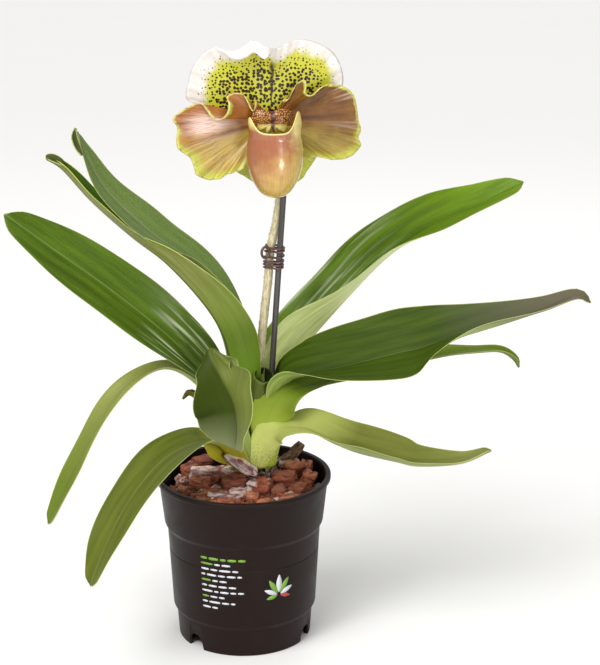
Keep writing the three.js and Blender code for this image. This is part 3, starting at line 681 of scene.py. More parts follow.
@dataclass(frozen=True)
class PetalTissue(FlowerTissue):
    """Petal under a natural varnish: a satin coat over copper brown and yellow.

    The eye sees long highlights between fine dark veins, an amber net at the base and a lime margin.
    A pale pink sheen is painted between the veins in one patch.
    """

    brown: str = "9c6a2c"
    dusk: str = "86501f"
    tan: str = "c4ad4c"
    lime: str = "b0b33a"
    pale: str = "e2d58a"
    vein: str = "5e2718"
    net: str = "4a1a10"
    amber: str = "c07a22"
    # Painted pink sheen: its colour, its place as angle, reach and strength, and its size.
    painted_sheen_colour: str = "ecd0c4"
    painted_sheen_place: Place = (0.0, 30.0, 0.0)
    painted_sheen_size: tuple[float, float] = (13.0, 20.0)
    vein_angle: float = 0.0
    low_angle: float = 34.0
    low_side: float = -1.0
    low_strength: float = 1.0
    cloud: float = 10.0
    mesh: float = 1.25

    def surface(self, add: Adder) -> Inputs:
        """Brown to tan and lime ground, veins from the base, net at the base, painted sheen, satin coat.
        """
        angle, reach, edge, flat = self.marks(add)
        cloud, sway = add("TexNoise", flat, Scale=1 / self.cloud, Detail=4.0, out=None)
        veins = self.veins(add, angle, reach, sway)
        line = add("MapRange", veins, 0.02, 0.22, 0.34, 0.0)
        fade = add("MapRange", edge, 1.0, 14.0, 0.1, 1.0)
        off = add("Math", angle, self.vein_angle, operation="SUBTRACT")
        near = add("Math", off, operation="ABSOLUTE")
        arc = add("Math", near, reach, operation="MULTIPLY")
        rib = add("MapRange", arc, 20.0, 130.0, 0.8, 0.0)
        within = add("MapRange", edge, 2.0, 30.0)
        net = add("TexVoronoi", flat, Scale=1 / self.mesh, voronoi_dimensions="2D", **EDGES)
        netted = layered(add, self.amber, (add("MapRange", net, 0.12, 0.24, 1.0, 0.0), self.net))
        colour = layered(
            add,
            self.ground(add, angle, edge, cloud),
            (add("Math", line, fade, operation="MULTIPLY"), self.vein),
            (add("Math", rib, within, operation="MULTIPLY"), self.vein),
            (add("MapRange", reach, 12.0, 18.0, 1.0, 0.0), netted),
            # Painted sheen: a pale pink patch between the veins.
            (self.painted_highlight(add, angle, reach, veins), self.painted_sheen_colour),
            (add("MapRange", edge, 0.3, 1.3, 0.8, 0.0), self.pale),
        )
        bump = add("Bump", Strength=0.35, Distance=0.25 * MM, Height=veins)
        more = self.flesh(0.08, (0.004, 0.002, 0.001)) | dict(Coat_Weight=0.3, Coat_Roughness=0.24)
        return dict(Base_Color=colour, Roughness=0.42, Normal=bump, IOR=1.45, **more)

    def painted_highlight(self, add: Adder, angle: Socket, reach: Socket, veins: Socket) -> Socket:
        """Share of the painted pink sheen that lies in one place between the veins.

        Args:
            add: adds a node to the material.
            angle: angle from the petal's middle in degrees.
            reach: distance from the flower's centre in millimetres.
            veins: distance to the nearest vein.

        Returns:
            0 on bare petal to the strength of the painted sheen.
        """
        centre_angle, centre_reach, strength = self.painted_sheen_place
        turned = add("Math", angle, centre_angle, operation="SUBTRACT")
        wide = add("Math", turned, 1 / self.painted_sheen_size[0], operation="MULTIPLY")
        away = add("Math", reach, centre_reach, operation="SUBTRACT")
        long = add("Math", away, 1 / self.painted_sheen_size[1], operation="MULTIPLY")
        far = add("VectorMath", add("CombineXYZ", wide, long), operation="LENGTH", out="Value")
        patch = add("MapRange", far, 0.15, 1.1, strength, 0.0, **SOFT)
        streak = add("MapRange", veins, 0.0, 0.3, 0.45, 1.0)
        return add("Math", patch, streak, operation="MULTIPLY")

    def ground(self, add: Adder, angle: Socket, edge: Socket, cloud: Socket) -> Socket:
        """Colour between the veins.

        Args:
            add: adds a node to the material.
            angle: angle from the petal's middle in degrees.
            edge: distance to the margin in millimetres.
            cloud: slow noise.

        Returns:
            The ground colour.
        """
        turned = add("Math", angle, self.low_side, operation="MULTIPLY")
        low = add("MapRange", turned, 4.0, self.low_angle, 0.0, self.low_strength, **SOFT)
        wide = add("MapRange", low, None, None, 2.5, 11.0)
        loose = add("Math", cloud, 10.0, -5.0, operation="MULTIPLY_ADD")
        inside = add("Math", edge, loose, operation="ADD")
        green = add("MapRange", inside, 0.0, wide, 1.0, 0.0, **SOFT)
        tone = add("MapRange", cloud, 0.35, 0.65)
        return layered(add, self.dusk, (tone, self.brown), (low, self.tan), (green, self.lime))

    def veins(self, add: Adder, angle: Socket, reach: Socket, sway: Socket) -> Socket:
        """Distance to the nearest vein of a net of long meshes.

        Args:
            add: adds a node to the material.
            angle: angle from the petal's middle in degrees.
            reach: distance from the flower's centre in millimetres.
            sway: slow coloured noise that bends the veins.

        Returns:
            0 on a vein, rising away from it.
        """
        course = add("CombineXYZ", angle, reach)
        long = add("VectorMath", course, (0.62, 0.06, 0.0), operation="MULTIPLY")
        bent = add("VectorMath", sway, (3.2, 1.0, 0.0), long, operation="MULTIPLY_ADD")
        return add("TexVoronoi", bent, Scale=1.0, Randomness=0.9, voronoi_dimensions="2D", **EDGES)


@dataclass(frozen=True)
class PouchTissue(FlowerTissue):
    """Pouch under a thick natural varnish, which gives the eye one wet, round highlight.

    Pink brown above, yellow ochre at toe and flanks, with a pale rim and lining, and painted shade
    in brown over the left flank.
    """

    pink: str = "974c3c"
    ochre: str = "c8a552"
    olive: str = "bba945"
    # Brown of the painted shade on the left flank.
    painted_flank_shade: str = "7d4622"
    rim: str = "e3d584"
    lining: str = "c9b452"
    vein: str = "7c3c26"
    cloud: float = 7.692

    def surface(self, add: Adder) -> Inputs:
        """Colour by height and side, fine upright veins, and a wet gloss."""
        wall = add("Attribute", attribute_name="wall", out="Vector")
        around, height, edge = add("SeparateXYZ", wall, out=None)
        side = add("Attribute", attribute_name="side", out="Vector")
        inner = add("MapRange", add("SeparateXYZ", side), -0.2, 0.2, 1.0, 0.0)
        cloud = add("TexNoise", wall, Scale=1 / self.cloud, Detail=5.0)
        loose = add("Math", cloud, 26.0, -13.0, operation="MULTIPLY_ADD")
        level = add("Math", height, loose, operation="ADD")
        sunk = add("Math", around, 0.5, level, operation="MULTIPLY_ADD")
        fibres = drawn(add, wall, 1.111, 14.29, 5.0, 0.6)
        rightward = add("Math", around, -0.9, level, operation="MULTIPLY_ADD")
        shoulder = add("MapRange", rightward, 0.0, 12.0, 0.0, 0.8)
        ear = add("MapRange", height, -3.0, 1.5)
        lip = add("MapRange", edge, 0.5, 1.4, 1.0, 0.0)
        pale = add("Math", ear, lip, operation="MAXIMUM")
        colour = layered(
            add,
            self.ochre,
            (add("MapRange", around, -24.0, -6.0, 1.0, 0.0), self.olive),
            (add("MapRange", sunk, -42.0, -8.0, 0.0, 0.85, **SOFT), self.pink),
            # Painted shade: the left flank darkened towards brown.
            (add("MapRange", around, 2.0, 24.0, 0.0, 0.6), self.painted_flank_shade),
            (add("MapRange", fibres, 0.48, 0.7, 0.0, 0.36), self.vein),
            (add("Math", pale, shoulder, operation="MAXIMUM"), self.rim),
            (inner, self.lining),
        )
        bump = add("Bump", Strength=0.3, Distance=0.3 * MM, Height=fibres)
        more = self.flesh(0.08, (0.005, 0.0025, 0.001)) | dict(Coat_Weight=0.7, Coat_Roughness=0.12)
        return dict(Base_Color=colour, Roughness=0.26, Normal=bump, IOR=1.45, **more)


@dataclass(frozen=True)
class ShieldTissue(Finish):
    """Staminode, grown warty above and smooth below.

    The eye sees a dark red net over orange, pale yellow teeth and a dark groove.
    """

    ground: str = "c98a2e"
    net: str = "4a150f"
    lobe: str = "dfce72"
    groove: str = "4a1c22"
    mesh: float = 1.3333
    groove_place: float = 1.2

    def surface(self, add: Adder) -> Inputs:
        """A warty net that ends in smooth pale teeth, with a dark groove down the middle."""
        flat = add("Attribute", attribute_name="flat", out="Vector")
        right, up, _ = add("SeparateXYZ", flat, out=None)
        cells = add("TexVoronoi", flat, Scale=1 / self.mesh, **EDGES)
        web = add("MapRange", cells, 0.1, 0.2, 1.0, 0.0)
        above = add("MapRange", up, -1.8, 0.2)
        centre = add("Math", right, self.groove_place, operation="SUBTRACT")
        off = add("Math", centre, operation="ABSOLUTE")
        groove = add("MapRange", off, 0.6, 2.0, 0.95, 0.0)
        netted = layered(add, self.ground, (web, self.net))
        colour = layered(add, self.lobe, (above, netted), (groove, self.groove))
        bump = add("Bump", Strength=0.5, Distance=0.3 * MM, Height=cells)
        return dict(Base_Color=colour, Roughness=0.45, Normal=bump, Coat_Weight=0.25, Coat_Roughness=0.2)


@dataclass(frozen=True)
class Rind(Finish):
    """Skin of a stem, root or wood, or drawn plastic: two tones in streaks along it."""

    light: str = "a39d62"
    dark: str = "6d6a36"
    across: float = 0.8
    along: float = 6.0
    roughness: float = 0.55
    relief: float = 0.3

    def surface(self, add: Adder) -> Inputs:
        """Streaks drawn out along the stem, with their own relief."""
        skin = add("Attribute", attribute_name="bark", out="Vector")
        streaks = drawn(add, skin, self.across, self.along, 4.0)
        colour = layered(add, self.dark, (add("MapRange", streaks, 0.35, 0.65), self.light))
        bump = add("Bump", Strength=0.4, Distance=self.relief * MM, Height=streaks)
        return dict(Base_Color=colour, Roughness=self.roughness, Normal=bump)


@dataclass(frozen=True)
class MouldedPlastic(Finish):
    """Injection-moulded polypropylene: the mould's grain gives the eye a dull, dusty gloss."""

    colour: str = "1a0d09"
    scuff: str = "2a1a14"
    grain: float = 0.35
    dust: float = 18.0
    roughness: float = 0.42

    def surface(self, add: Adder) -> Inputs:
        """Fine grain in the gloss and faint dusty scuffs."""
        place = add("TexCoord", out="Object")
        grain = add("TexNoise", place, Scale=1 / (self.grain * MM), Detail=2.0)
        dust = add("TexNoise", place, Scale=1 / (self.dust * MM), Detail=6.0, Roughness=0.6)
        colour = layered(add, self.colour, (add("MapRange", dust, 0.5, 0.8, 0.0, 0.35), self.scuff))
        gloss = add("MapRange", dust, 0.3, 0.7, self.roughness - 0.05, self.roughness + 0.1)
        bump = add("Bump", Strength=0.12, Distance=0.1 * MM, Height=grain)
        return dict(Base_Color=colour, Roughness=gloss, Normal=bump, IOR=1.4, Specular_IOR_Level=0.22)


@dataclass(frozen=True)
class PineBark(Finish):
    """Broken pine bark: dry and rough, so that the eye sees no gloss at all.

    Rust-red layers, darker in the cracks, partly as the bark's own darker layers and partly as
    painted shade, and some chips crusted with pale lichen.
    """

    rust: str = "a5533a"
    pale: str = "c67c5a"
    umber: str = "522e22"
    crust: str = "e2d4cc"
    violet: str = "94707a"
    layer: float = 1.4
    lump: float = 3.333

    def surface(self, add: Adder) -> Inputs:
        """Layers across each chip, tone and crust by chip."""
        chip = add("Attribute", attribute_name="chip", out="Vector")
        tone, crusted, gloom = add("SeparateXYZ", chip, out=None)
        local = add("Attribute", attribute_name="grain", out="Vector")
        strata = add("VectorMath", local, (0.12, 0.3, 1 / self.layer), operation="MULTIPLY")
        layers = add("TexNoise", strata, Scale=1.0, Detail=5.0)
        lumps = add("TexNoise", local, Scale=1 / self.lump, Detail=5.0, Roughness=0.65)
        # Umber in the low bands of the relief: partly the bark's darker layers, partly painted shade in
        # the cracks.
        fresh_and_unshaded = add("MapRange", layers, 0.34, 0.6, 0.0, 1.0)
        light = add("Math", tone, fresh_and_unshaded, operation="MULTIPLY")
        shaded = add("MapRange", gloom, 0.3, 1.0, 0.0, 0.75)
        limit = add("MapRange", crusted, None, None, 0.78, 0.37)
        top = add("Math", limit, 0.08, operation="ADD")
        crust = add("MapRange", lumps, limit, top, 0.0, 0.85)
        stain = add("MapRange", layers, 0.4, 0.56)
        colour = layered(
            add,
            self.umber,
            (fresh_and_unshaded, self.rust),
            (light, self.pale),
            (shaded, self.umber),
            (crust, layered(add, self.violet, (stain, self.crust))),
        )
        relief = add("Math", layers, lumps, operation="ADD")
        bump = add("Bump", Strength=0.8, Distance=0.8 * MM, Height=relief)
        return dict(Base_Color=colour, Roughness=0.85, Normal=bump)


@dataclass(frozen=True)
class Paint(Finish):
    """Screen-printed ink or matt paper: one flat colour with a trace of cloudiness."""

    colour: str = "f4f3f1"
    second: str = "f1f0ee"
    roughness: float = 0.7
    scale: float = 3.0

    def surface(self, add: Adder) -> Inputs:
        """One colour with slight cloudiness."""
        cloud = add("TexNoise", add("TexCoord", out="Object"), Scale=self.scale)
        rough = add("MapRange", cloud, None, None, self.roughness - 0.05, self.roughness + 0.05)
        return dict(Base_Color=layered(add, self.colour, (cloud, self.second)), Roughness=rough)


# ---------------------------------------------------------------- leaves


@dataclass(frozen=True)
class Leaf:
    """A strap leaf along its midrib.

    A station is x, y, z, facing, roll, half width, fold, curl, with angles in degrees. Facing is
    the compass direction that the leaf grows in, roll turns the blade about its midrib, fold is how
    steeply the halves leave the midrib, and curl how far each half bends up to its margin. A second
    fold and curl may follow, for the half on the left of the leaf's own course, and then the width
    of the other half as a share of the half width. Shares are the grid's columns on each half.
    """

    node: str
    tissue: LeafTissue
    rows: Rows
    name: str = ""
    steps: int = 90
    slot: str = "leaf"
    middle: float = 1.8
    margin: float = 0.9
    round_tip: float = 5.0
    sheath: float = 0.7
    sheath_rise: float = 0.3
    ripple: float = 0.5
    ripple_length: float = 9.0
    least_curl: float = 0.1
    shares: tuple[float, ...] = (0.03, 0.08, 0.16, 0.27, 0.4, 0.53, 0.66, 0.78, 0.88, 0.94, 0.975, 1.0)

    def skin(self) -> Skin:
        """The blade as a sheet of points with its marks."""
        course = Course(self.rows)
        columns = [-share for share in reversed(self.shares)] + [0.0] + list(self.shares)
        points, marks = [], []
        for i in range(self.steps + 1):
            share = i / self.steps
            x, y, z, facing, roll, width, *halves = course.at(share)
            spread = halves.pop() if len(halves) == 5 else 1.0
            left = course.length * (1 - share)
            if left < self.round_tip:
                width *= math.sqrt(max(1 - (1 - left / self.round_tip) ** 2, 0.01))
            level = Vector((-math.sin(math.radians(facing)), math.cos(math.radians(facing)), 0))
            tangent = course.tangent(share)
            flat = (level - tangent * level.dot(tangent)).normalized()
            inward = tangent.cross(flat)
            c, s = polar(roll)
            across = flat * c - inward * s
            up = inward * c + flat * s
            line, words = [], []
            for column in columns:
                fold, curl = halves[-2:] if column > 0 else halves[:2]
                half = width * (spread if column < 0 else 1.0)
                start = math.radians(fold)
                bend = math.radians(curl if abs(curl) > self.least_curl else self.least_curl) / half
                reach = abs(column) * half
                out = (math.sin(start + bend * reach) - math.sin(start)) / bend
                rise = (math.cos(start) - math.cos(start + bend * reach)) / bend
                wave = share * course.length / self.ripple_length + 2 * column
                rise += self.ripple * column**4 * math.sin(wave)
                line.append(Vector((x, y, z)) + across * math.copysign(out, column) + up * rise)
                words.append(Vector((column * half, share * course.length, half - reach)))
            points.append(line)
            marks.append(words)

        def thickness(i: int, j: int) -> float:
            """Thick at the midrib, thin at the margin."""
            share = abs(columns[j])
            sheath = min(1.0, self.sheath + i / self.steps / self.sheath_rise)
            edge = math.sqrt(max(1 - share**6, 0.04))
            return sheath * mix(self.middle, self.margin, share**2) * edge

        return Skin(points, thickness, {"blade": marks})

    def dress(self) -> None:
        """Makes the leaf and puts it in the scene."""
        name = self.name or self.node + "_blade"
        add_piece(name, self.skin().mesh(name), self.tissue.build(), self.node)


LEAVES = (
    Leaf(
        "leaf_left_big",
        LeafTissue(
            "leaf_glossy_left", upper="4f6a12", shade="364a04", base="66802c", base_to=60, midrib=0.5,
            rim_strength=0.3, painted_highlight=(0.9, 40, 142), roughness=0.3,
        ),
        (
            (-2.4, 9, 117.5, 180, 0, 8.2, 0, 50),
            (-5, 10, 140, 180, 0, 10, 0, 50),
            (-13, 8, 166, 180, 6, 14, 10, 50),
            (-29, 1, 193, 178, 26, 20, 12, 36),
            (-54, -5, 222, 176, 42, 23, 12, 22),
            (-88, -8, 252.5, 176, 46, 22.6, 10, 14),
            (-120, -10, 277.5, 176, 46, 19, 10, 12),
            (-144, -10, 296, 176, 44, 12, 8, 10),
            (-156, -9, 305, 176, 44, 4.5, 5, 8),
        ),
        round_tip=10.0,
    ),
    Leaf(
        "leaf_left_inner",
        LeafTissue(
            "leaf_inner_left", upper="5f7a2a", shade="4a6416", painted_sheen_and_midrib="929a78", painted_sheen_strength=0.6,
            rim_strength=0.45,
        ),
        (
            (2, 9, 117.5, 180, 0, 5.2, 0, 60),
            (1, 10, 150, 180, 0, 7, 10, 50),
            (-0.5, 11, 190, 180, 0, 10, 20, 40),
            (-3, 12, 214, 180, 0, 13, 26, 30),
            (-14, 14, 240.5, 178, 0, 15.6, 24, 30),
            (-34, 15, 265.2, 176, 6, 17, 18, 28),
            (-62, 12, 287.6, 174, 19, 18, 8, 22),
            (-90, 10, 316.5, 174, 26, 13, 8, 16),
            (-103.5, 12, 341, 176, 20, 7, 10, 20),
            (-108.5, 14, 355.5, 178, 10, 2.6, 10, 20),
        ),
    ),
    Leaf(
        "leaf_left_inner",
        LeafTissue(
            "leaf_curled_edge", upper="34460a", shade="26360a", base="26360a", base_from=0, base_to=4,
            midrib=0.0,
        ),
        (
            (-105, 5.4, 341.5, 90, 0, 0.8, 0, 10),
            (-106.9, 7, 344.8, 90, 0, 2.1, 10, 30),
            (-108.8, 8.8, 349, 90, 0, 3, 20, 40),
            (-109.8, 10.6, 353, 90, 0, 2.8, 20, 40),
            (-109.6, 12.2, 356.4, 90, 0, 1.7, 20, 40),
            (-109.1, 13, 358.2, 90, 0, 0.8, 20, 40),
        ),
        name="curled_tip_inner",
        steps=20,
        round_tip=0.0,
    ),
    Leaf(
        "leaf_left_outer",
        LeafTissue(
            "leaf_outer_left", under="7f8448", under_shade="656c30", margin="c9cf6a", keel_line_strength=0.9,
            base="5c7c14", base_from=70, base_to=150, rim_strength=0.8,
        ),
        (
            (0.5, 6, 117.5, 205, 0, 7.4, 0, 60),
            (-1, 5, 145, 205, -4, 10, 16, 50),
            (-5, 2, 172, 205, -20, 17, 30, 34),
            (-9, -1, 204, 200, -32, 22, 37, 20),
            (-15.6, -6, 226, 192, -36, 21, 37, 10),
            (-29, -6, 246.6, 186, -37, 18.4, 38, 6),
            (-50.6, -2, 269.8, 182, -24, 12, 34, 6),
            (-74, 6, 286.5, 178, -4, 9.5, 28, 10),
            (-100, 14, 308.5, 176, 6, 9.5, 36, 0),
            (-119, 18, 329.5, 176, 4, 5.5, 50, 0),
            (-130, 18, 337, 176, 0, 2.6, 40, 0),
        ),
    ),
    Leaf(
        "leaf_left_outer",
        LeafTissue(
            "leaf_curled_tip", upper="44541a", shade="2c3a08", base="2c3a08", base_from=0, base_to=4,
            midrib=0.0,
        ),
        (
            (-117.6, 17.2, 332.6, 176, 50, 1.6, 10, 20),
            (-121, 16.6, 335.2, 176, 56, 2.9, 10, 34),
            (-125, 16.4, 337.3, 176, 60, 3.4, 10, 44),
            (-128, 16.6, 338.2, 176, 60, 2.6, 10, 40),
            (-129.8, 17, 338, 176, 60, 1.4, 10, 30),
        ),
        name="curled_tip_outer",
        steps=20,
        round_tip=0.0,
    ),
    Leaf(
        "leaf_left_hanging",
        LeafTissue(
            "leaf_hanging_left", upper="7f8a3c", shade="667426", painted_sheen_and_midrib="a0946e", painted_sheen_strength=0.5,
            base="5e6e22", base_from=205, base_to=130, midrib=0.2,
        ),
        (
            (-4.6, 8, 117.5, 185, 0, 9, 0, 44),
            (-9, 8, 138, 185, 0, 10, 4, 44),
            (-21, 9, 163, 182, 0, 9.5, 14, 36),
            (-34, 8, 182.5, 180, 0, 8, 20, 24),
            (-53, 2, 194, 182, 4, 7.2, 20, 14),
            (-75, -8, 188, 182, 28, 8, 16, 10),
            (-94, -15, 168.5, 182, 34, 8.6, 14, 10),
            (-115.5, -24, 129, 182, 34, 9, 14, 10),
            (-129, -30, 102, 182, 30, 7, 12, 10),
            (-133, -31, 94, 182, 30, 3, 10, 8),
        ),
    ),
    Leaf(
        "leaf_left_low",
        LeafTissue(
            "leaf_low_left", upper="5c661a", shade="46520e", painted_sheen_and_midrib="747440", painted_sheen_strength=0.3,
            base="a39a22", base_to=48,
        ),
        (
            (-1.9, -1.6, 117.5, 230, 0, 9.6, 0, 40),
            (-8, -8, 132, 230, 0, 12, 6, 40),
            (-18, -18, 146, 228, 0, 16, 10, 30),
            (-34, -29, 150, 224, 0, 18.6, 8, 20),
            (-55, -43, 142, 220, 0, 20.2, 6, 14),
            (-76, -58, 120, 220, 0, 18.8, 6, 12),
            (-91, -70.5, 95, 220, 0, 15, 8, 14),
            (-99, -76.5, 76, 220, 0, 9, 8, 14),
            (-101, -78.5, 69, 220, 0, 4, 8, 10),
        ),
    ),
    Leaf(
        "leaf_left_low",
        LeafTissue(
            "leaf_sheath_old", upper="a9a02a", shade="8f8a1e", painted_sheen_and_midrib="b0a448", under="b5aa34",
            under_shade="99901f", base="b0a52c", margin="c4bc5a", midrib=0.0, freckle=2.2,
        ),
        (
            (-3.8, 4, 124.1, 200, 0, 5, 8, -20, -30, -50),
            (-9.3, 1, 129.7, 194, 0, 7, 8, -20, -30, -50),
            (-15.4, -4, 136.1, 188, 0, 8.5, 8, -20, -30, -50),
            (-22.2, -9, 141, 182, 0, 7, 8, -20, -30, -50),
            (-26.9, -12, 143.2, 176, 0, 2.5, 8, -20, -30, -50),
        ),
        name="old_sheath",
        steps=30,
    ),
    Leaf(
        "leaf_right_back",
        LeafTissue(
            "leaf_back_right", upper="66860f", shade="4e6a08", under="d4dd9a", under_shade="b9c576",
            painted_highlight=(0.8, 40, 215), rim_strength=0.4,
        ),
        (
            (11.3, 11, 117.5, 25, 0, 5, 0, 60, 0, 60),
            (12, 12, 145, 27, 0, 7, 10, 50, 10, 50),
            (18, 15, 170, 28, 0, 14, 46, 30, 40, 30),
            (31, 22, 190, 28, 0, 25, 78, 10, 52, 10),
            (50, 31, 208.4, 27, -2, 29, 80, 0, 42, 0),
            (75, 39, 234.2, 26, -10, 28.4, 54, 0, 38, 0),
            (103, 49, 260, 24, -24, 26.4, 57, 0, 35, 6),
            (137, 57, 281, 20, -34, 22, 38, 8, 28, 8),
            (170, 61, 295, 16, -36, 15, 34, 8, 20, 8),
            (190, 62, 304.5, 14, -36, 9, 26, 8, 14, 8),
            (198, 62, 309.5, 14, -36, 3.6, 10, 8, 10, 8),
        ),
        round_tip=9.0,
    ),
    Leaf(
        "leaf_right_big",
        LeafTissue(
            "leaf_big_right", upper="40540a", shade="2e4206", painted_sheen_and_midrib="6a6c50", painted_sheen_strength=0.1,
            base="5f5a48", base_from=262, base_to=184, roughness=0.42, shine=0.1,
        ),
        (
            (18.8, 8, 117.5, -5, 0, 9, 0, 45, 0, 45),
            (21.3, 8, 145, -6, 0, 10, 0, 45, 0, 45),
            (24, 4, 168, -8, 0, 12, 12, 40, 12, 40),
            (32, -4, 186, -10, -12, 20, 40, 14, 22, 24),
            (47, -10, 193, -12, -26, 25, 42, 6, 30, 12),
            (70, -18, 200, -13, -34, 28.5, 33, 4, 30, 8),
            (100, -26, 210.5, -13, -37, 30, 18, 4, 28, 6),
            (118, -30, 216, -12.5, -37, 29, 18, 4, 27, 6),
            (134, -34, 222.6, -12, -37, 25.5, 38, 4, 26, 6),
            (168, -40, 234.8, -10, -34, 16.5, 58, 4, 22, 6),
            (198, -44, 246.6, -6, -30, 10.5, 38, 8, 14, 8),
            (219, -46, 256, -4, -26, 6, 20, 8, 8, 8),
            (228, -47, 252, -4, -26, 2.5, 6, 6, 6, 6),
        ),
    ),
    Leaf(
        "leaf_right_middle",
        LeafTissue(
            "leaf_middle_right", upper="62721a", shade="4e620c", under="737f40", under_shade="606c32",
            base="b2c448", base_from=28, base_to=70, rim_strength=0.4,
        ),
        (
            (14.2, -4, 122.5, 90, 0, 9, -8, -30, -8, -30),
            (15.6, -9, 142, 86, 0, 11, -8, -26, -8, -26),
            (17.1, -12, 161.3, 72, 0, 14, -10, -26, -6, -14),
            (24, -12, 175.6, 50, 0, 16, -8, -20, 6, -10),
            (35.6, -9, 182.4, 28, 0, 15, 0, -6, 24, -10),
            (52, -2, 183, 12, -4, 12, 12, 0, 38, 0),
            (74, 5, 185.5, 8, -8, 12.5, 16, 6, 34, 6),
            (102, 14, 188.5, 12, -10, 12, 24, 10, 24, 10),
            (138, 21, 195, 10, -10, 10, 20, 10, 20, 10),
            (166, 24, 197, 8, -10, 6, 16, 10, 16, 10),
            (181, 26, 196, 6, -10, 4.6, 20, 30, 20, 30),
            (190, 26, 190.5, 6, -10, 4, 30, 50, 30, 50),
            (194, 26, 184.5, 6, -10, 2.8, 30, 60, 30, 60),
        ),
    ),
    Leaf(
        "leaf_right_low",
        LeafTissue(
            "leaf_low_right", upper="767c2c", shade="626c1c", painted_sheen_and_midrib="8d8560", painted_sheen_strength=0.4,
            under="96a050", under_shade="7f8a48", base="d6de7c", base_from=26, base_to=92,
            rim_strength=0.5,
        ),
        (
            (9.4, -6, 123.3, 90, 0, 10.5, -8, -34, -8, -34, 1),
            (12.9, -11, 139.1, 82, 0, 11, -8, -30, -8, -30, 1),
            (19.7, -16, 152.5, 66, 0, 12, -6, -24, -6, -20, 0.9),
            (30.6, -18, 156.7, 44, 0, 14, 0, -14, 12, -8, 0.72),
            (44.2, -18, 155.1, 14, -8, 16, 18, -4, 54, -8, 1),
            (63, -19, 145.6, -8, -16, 19, 38, 2, 56, 2, 1),
            (80, -21, 139.2, -12, -20, 20, 50, 4, 52, 4, 1),
            (104, -25, 134.5, -11, -20, 18, 47, 4, 46, 4, 1),
            (120, -27, 131.8, -10, -20, 14.6, 44, 4, 44, 4, 1),
            (148, -30, 134.6, -8, -18, 8, 40, 4, 40, 4, 1),
            (168, -31, 143.6, -6, -16, 3.8, 34, 14, 34, 14, 1),
        ),
    ),
    Leaf(
        "leaf_front",
        # Painted shade on one half and painted sheen on the other (halves), and grey-green painted sheen
        # in the tip colour (base, from 158 mm along outwards).
        LeafTissue(
            "leaf_front", upper="4c5e10", shade="2f3c02", painted_sheen_and_midrib="788040", painted_sheen_strength=0.1, midrib=0.1,
            base="7d835c", base_from=194, base_to=158, halves=(0.9, 0.55), roughness=0.5,
        ),
        (
            (4, -2.2, 117.5, 255, 0, 4.4, 0, 22, 0, 22, 1),
            (1, -8, 138, 255, 0, 6, 10, 34, 10, 34, 1),
            (-7, -14, 166, 252, 0, 8, 24, 40, 24, 40, 1),
            (-13, -19, 192, 250, 0, 9, 34, 34, 24, 24, 1),
            (-16, -26, 209, 254, 4, 7, 10, 10, -20, 0, 0.8),
            (-17.8, -31, 216.6, 255, 2, 15, -10, -10, -28, -8, 0.2),
            (-21.4, -36, 218.5, 257, 2, 24, -20, -20, -32, -14, 0.12),
            (-19.7, -41.5, 214, 258, 0, 21, 0, -8, -44, -16, 0.4),
            (-15.5, -46, 206.4, 258, 0, 12, 22, 6, -14, -24, 1.4),
            (-8.4, -52, 193.8, 262, -6, 25, 18, 26, 62, -50, 1.12),
            (-4.5, -55, 184, 264, -6, 27, 6, 26, 68, -30, 1),
            (-3.3, -55.5, 171, 266, -6, 22.5, 8, 18, 70, 0, 1.12),
            (-3.9, -55, 162, 266, -7, 15.5, 8, 14, 66, 0, 1.2),
            (-5, -54, 155, 266, -7, 5, 8, 10, 60, 6, 1.1),
        ),
    ),
    Leaf(
        "leaf_young",
        # Very dark upper face: painted shade inside the hollow of the rolled young leaf.
        LeafTissue(
            "leaf_young", upper="1a2604", shade="141e02", painted_sheen_and_midrib="26340c", under="6c7a3a",
            under_shade="5c6a2c", base="4c5a20", base_from=0, base_to=16, midrib=0.1,
        ),
        (
            (8.6, 1, 117.5, 268, 0, 4.4, 0, 60),
            (9, 0, 140, 268, 0, 8, 10, 90),
            (10, -3, 165, 266, 0, 13, 10, 140),
            (12.4, -6.4, 179, 264, 0, 19, 12, 150),
            (13.6, -9.4, 186.6, 264, 0, 23, 16, 150),
        ),
        steps=50,
        round_tip=0.0,
    ),
    Leaf(
        "leaf_withered",
        LeafTissue(
            "leaf_withered", upper="6a5a24", shade="4a3c18", painted_sheen_and_midrib="6b5a30", under="6e6228",
            under_shade="544818", base="6d6a2a", margin="8a7a40", roughness=0.6,
        ),
        (
            (-5, 15.9, 117.5, 150, 0, 3.6, 0, 18),
            (-13, 21, 135, 154, 0, 5, 10, 30),
            (-25, 25, 154, 160, 0, 5, 20, 40),
            (-36, 24, 167, 170, 0, 5, 20, 60),
            (-42, 22, 165, 176, 0, 2.5, 10, 40),
        ),
        steps=40,
        slot="leaf_withered",
    ),
    Leaf(
        "bract",
        LeafTissue(
            "bract_green", upper="7c9444", shade="64803a", under="86a050", under_shade="728c40",
            base="86a050",
        ),
        (
            (26.8, 14.2, 313, 90, 0, 6, 0, 78),
            (27.5, 16.2, 322, 90, 0, 7, 0, 70),
            (27.5, 17.5, 333, 90, 0, 6, 0, 60),
            (26.5, 17, 343, 90, 0, 2.5, 0, 40),
        ),
        steps=30,
        round_tip=4.0,
    ),
)


# ---------------------------------------------------------------- flower


